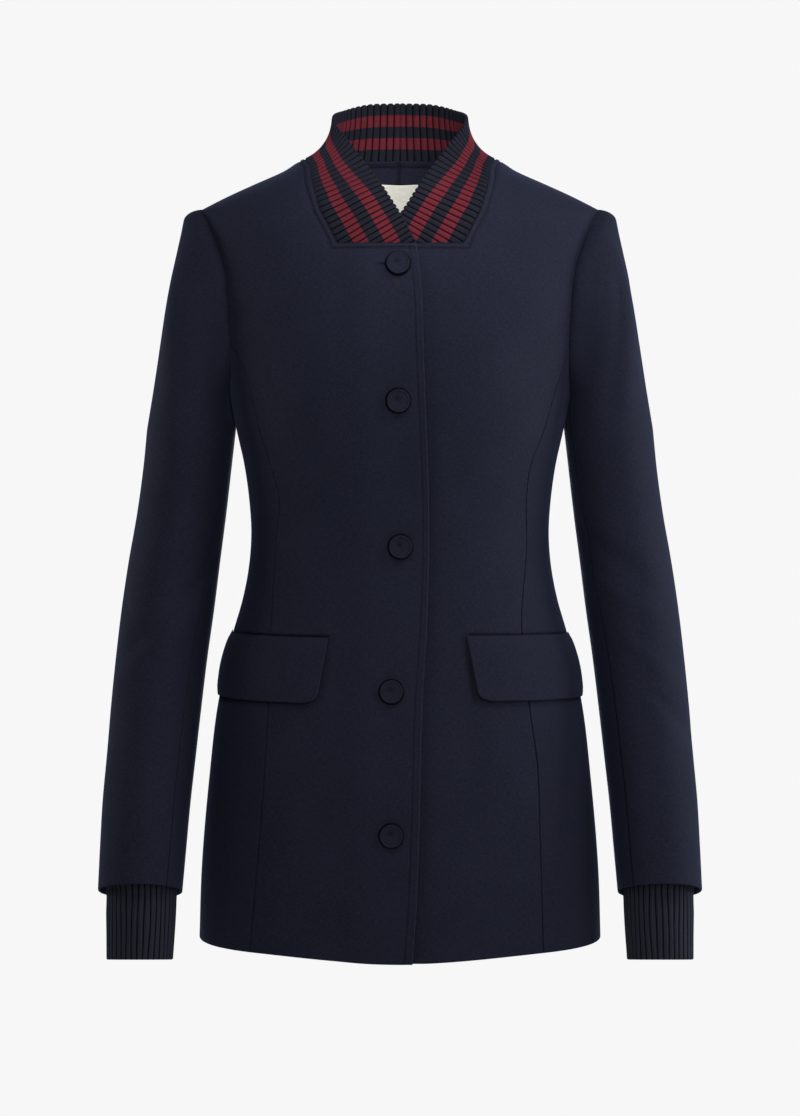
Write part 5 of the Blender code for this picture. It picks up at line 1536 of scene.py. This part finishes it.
# ---------------------------------------------------------------- floor, light and camera
# Metres and degrees from here on, and watts.
FLOOR_LEVEL, FLOOR_RADIUS, FLOOR_GLOW = -1.45, 2.1, 0.35
MIDDLE = Vector((0, 0, -0.25))                  # what the softboxes are aimed at
SOFTBOX_SIZE = 0.35                             # a softbox's side for each metre of its distance
NECK_SPOT_FROM, NECK_SPOT_AT, NECK_SPOT_WATTS = Vector((0.25, -1.6, 0.35)), Vector((0, 0, -0.02)), 95.0
SKY, SKY_SEEN = 0.0, 0.93                       # the backdrop gives no light and is seen nearly white
CAMERA_DISTANCE, CAMERA_HEIGHT, CAMERA_TILT = 2.5, -0.2592, 2.195
CAMERA_LENS, CAMERA_SENSOR = 89.65, 36.0        # millimetres

# Each softbox's azimuth, from the front towards the wearer's left, elevation, distance and power.
SOFTBOXES = {"key_softbox": (60, 45, 1.25, 4.3), "left_front_softbox": (35, 45, 1.25, 1.5),
             "front_softbox": (-15, 45, 1.25, 3.2), "front_fill": (5, 12, 1.25, 3.5),
             "left_side_softbox": (94, 0, 1.25, 7.5), "right_side_softbox": (-104, 5, 1.25, 5.0),
             "low_fill": (60, -5, 1.25, 1.5), "back_softbox": (180, 2, 2.8, 34.0)}


def build_floor():
    """A plain pale round floor, well below the hem."""
    corners = 96
    turns = [2 * math.pi * i / corners for i in range(corners)]
    mesh = bpy.data.meshes.new("studio_floor")
    mesh.from_pydata([(FLOOR_RADIUS * math.cos(turn), FLOOR_RADIUS * math.sin(turn), FLOOR_LEVEL)
                      for turn in turns], [], [tuple(range(corners))])
    floor = put_in_scene("studio_floor", mesh)
    # Matt paint, rolled on, is pale and even with no shine. A little glow keeps it pale.
    material, tree, shader = new_material("matt_studio_paint", 0.9, 0.2)
    grain = add(tree, "ShaderNodeTexNoise", [("Scale", 3.0), ("Detail", 2.0)])
    colour = add(tree, "ShaderNodeMix", [("Factor", grain.outputs["Fac"]), (6, linear("#eeeeee")),
                                         (7, linear("#f4f4f4"))], data_type="RGBA")
    tree.links.new(colour.outputs[2], shader.inputs["Base Color"])
    shader.inputs["Emission Color"].default_value = linear("#ffffff")
    shader.inputs["Emission Strength"].default_value = FLOOR_GLOW
    floor.data.materials.append(material)


def aim(lamp, away):
    lamp.rotation_euler = away.to_track_quat("Z", "Y").to_euler()


def add_softbox(name, azimuth, elevation, distance, watts):
    """A square softbox aimed at the blazer's middle, hidden from the camera."""
    light = bpy.data.lights.new(name, "AREA")
    light.size, light.energy = SOFTBOX_SIZE * distance, watts
    around, up = math.radians(azimuth), math.radians(elevation)
    away = Vector((math.cos(up) * math.sin(around), -math.cos(up) * math.cos(around), math.sin(up)))
    lamp = put_in_scene(name, light)
    lamp.location = MIDDLE + distance * away
    lamp.visible_camera = False
    aim(lamp, away)


def add_neck_spot():
    """A narrow spot on the inside of the back neck and its label."""
    light = bpy.data.lights.new("neck_spot", "SPOT")
    light.energy, light.spot_size, light.spot_blend = NECK_SPOT_WATTS, math.radians(8), 1.0
    light.shadow_soft_size = 0.1
    lamp = put_in_scene("neck_spot", light)
    lamp.location = NECK_SPOT_FROM
    aim(lamp, NECK_SPOT_FROM - NECK_SPOT_AT)


def add_backdrop():
    world = bpy.data.worlds.new("studio_air")
    world.use_nodes = True
    tree = world.node_tree
    ground = tree.nodes["Background"]
    ground.inputs["Color"].default_value = (1, 1, 1, 1)
    seen = add(tree, "ShaderNodeLightPath").outputs["Is Camera Ray"]
    level = add(tree, "ShaderNodeMapRange", [("Value", seen), ("To Min", SKY), ("To Max", SKY_SEEN)])
    tree.links.new(level.outputs[0], ground.inputs["Strength"])
    bpy.context.scene.world = world


def light_studio():
    """Softboxes close in above and beside the front, a little behind each side and at the back."""
    for name, (azimuth, elevation, distance, watts) in SOFTBOXES.items():
        add_softbox(name, azimuth, elevation, distance, watts)
    add_neck_spot()
    add_backdrop()


def place_camera():
    data = bpy.data.cameras.new("catalogue_camera")
    data.sensor_width, data.lens = CAMERA_SENSOR, CAMERA_LENS
    camera = put_in_scene("catalogue_camera", data)
    camera.location = (0, -CAMERA_DISTANCE, CAMERA_HEIGHT)
    camera.rotation_euler = (math.radians(90 - CAMERA_TILT), 0, 0)
    bpy.context.scene.camera = camera
    bpy.context.scene.view_settings.view_transform = "Standard"


# ---------------------------------------------------------------- building it all
build_fronts()
build_sides()
build_backs()
build_sleeves()
build_cuffs()
build_collar()
build_flaps()
build_inside_neck()
build_buttons()
build_floor()
light_studio()
place_camera()
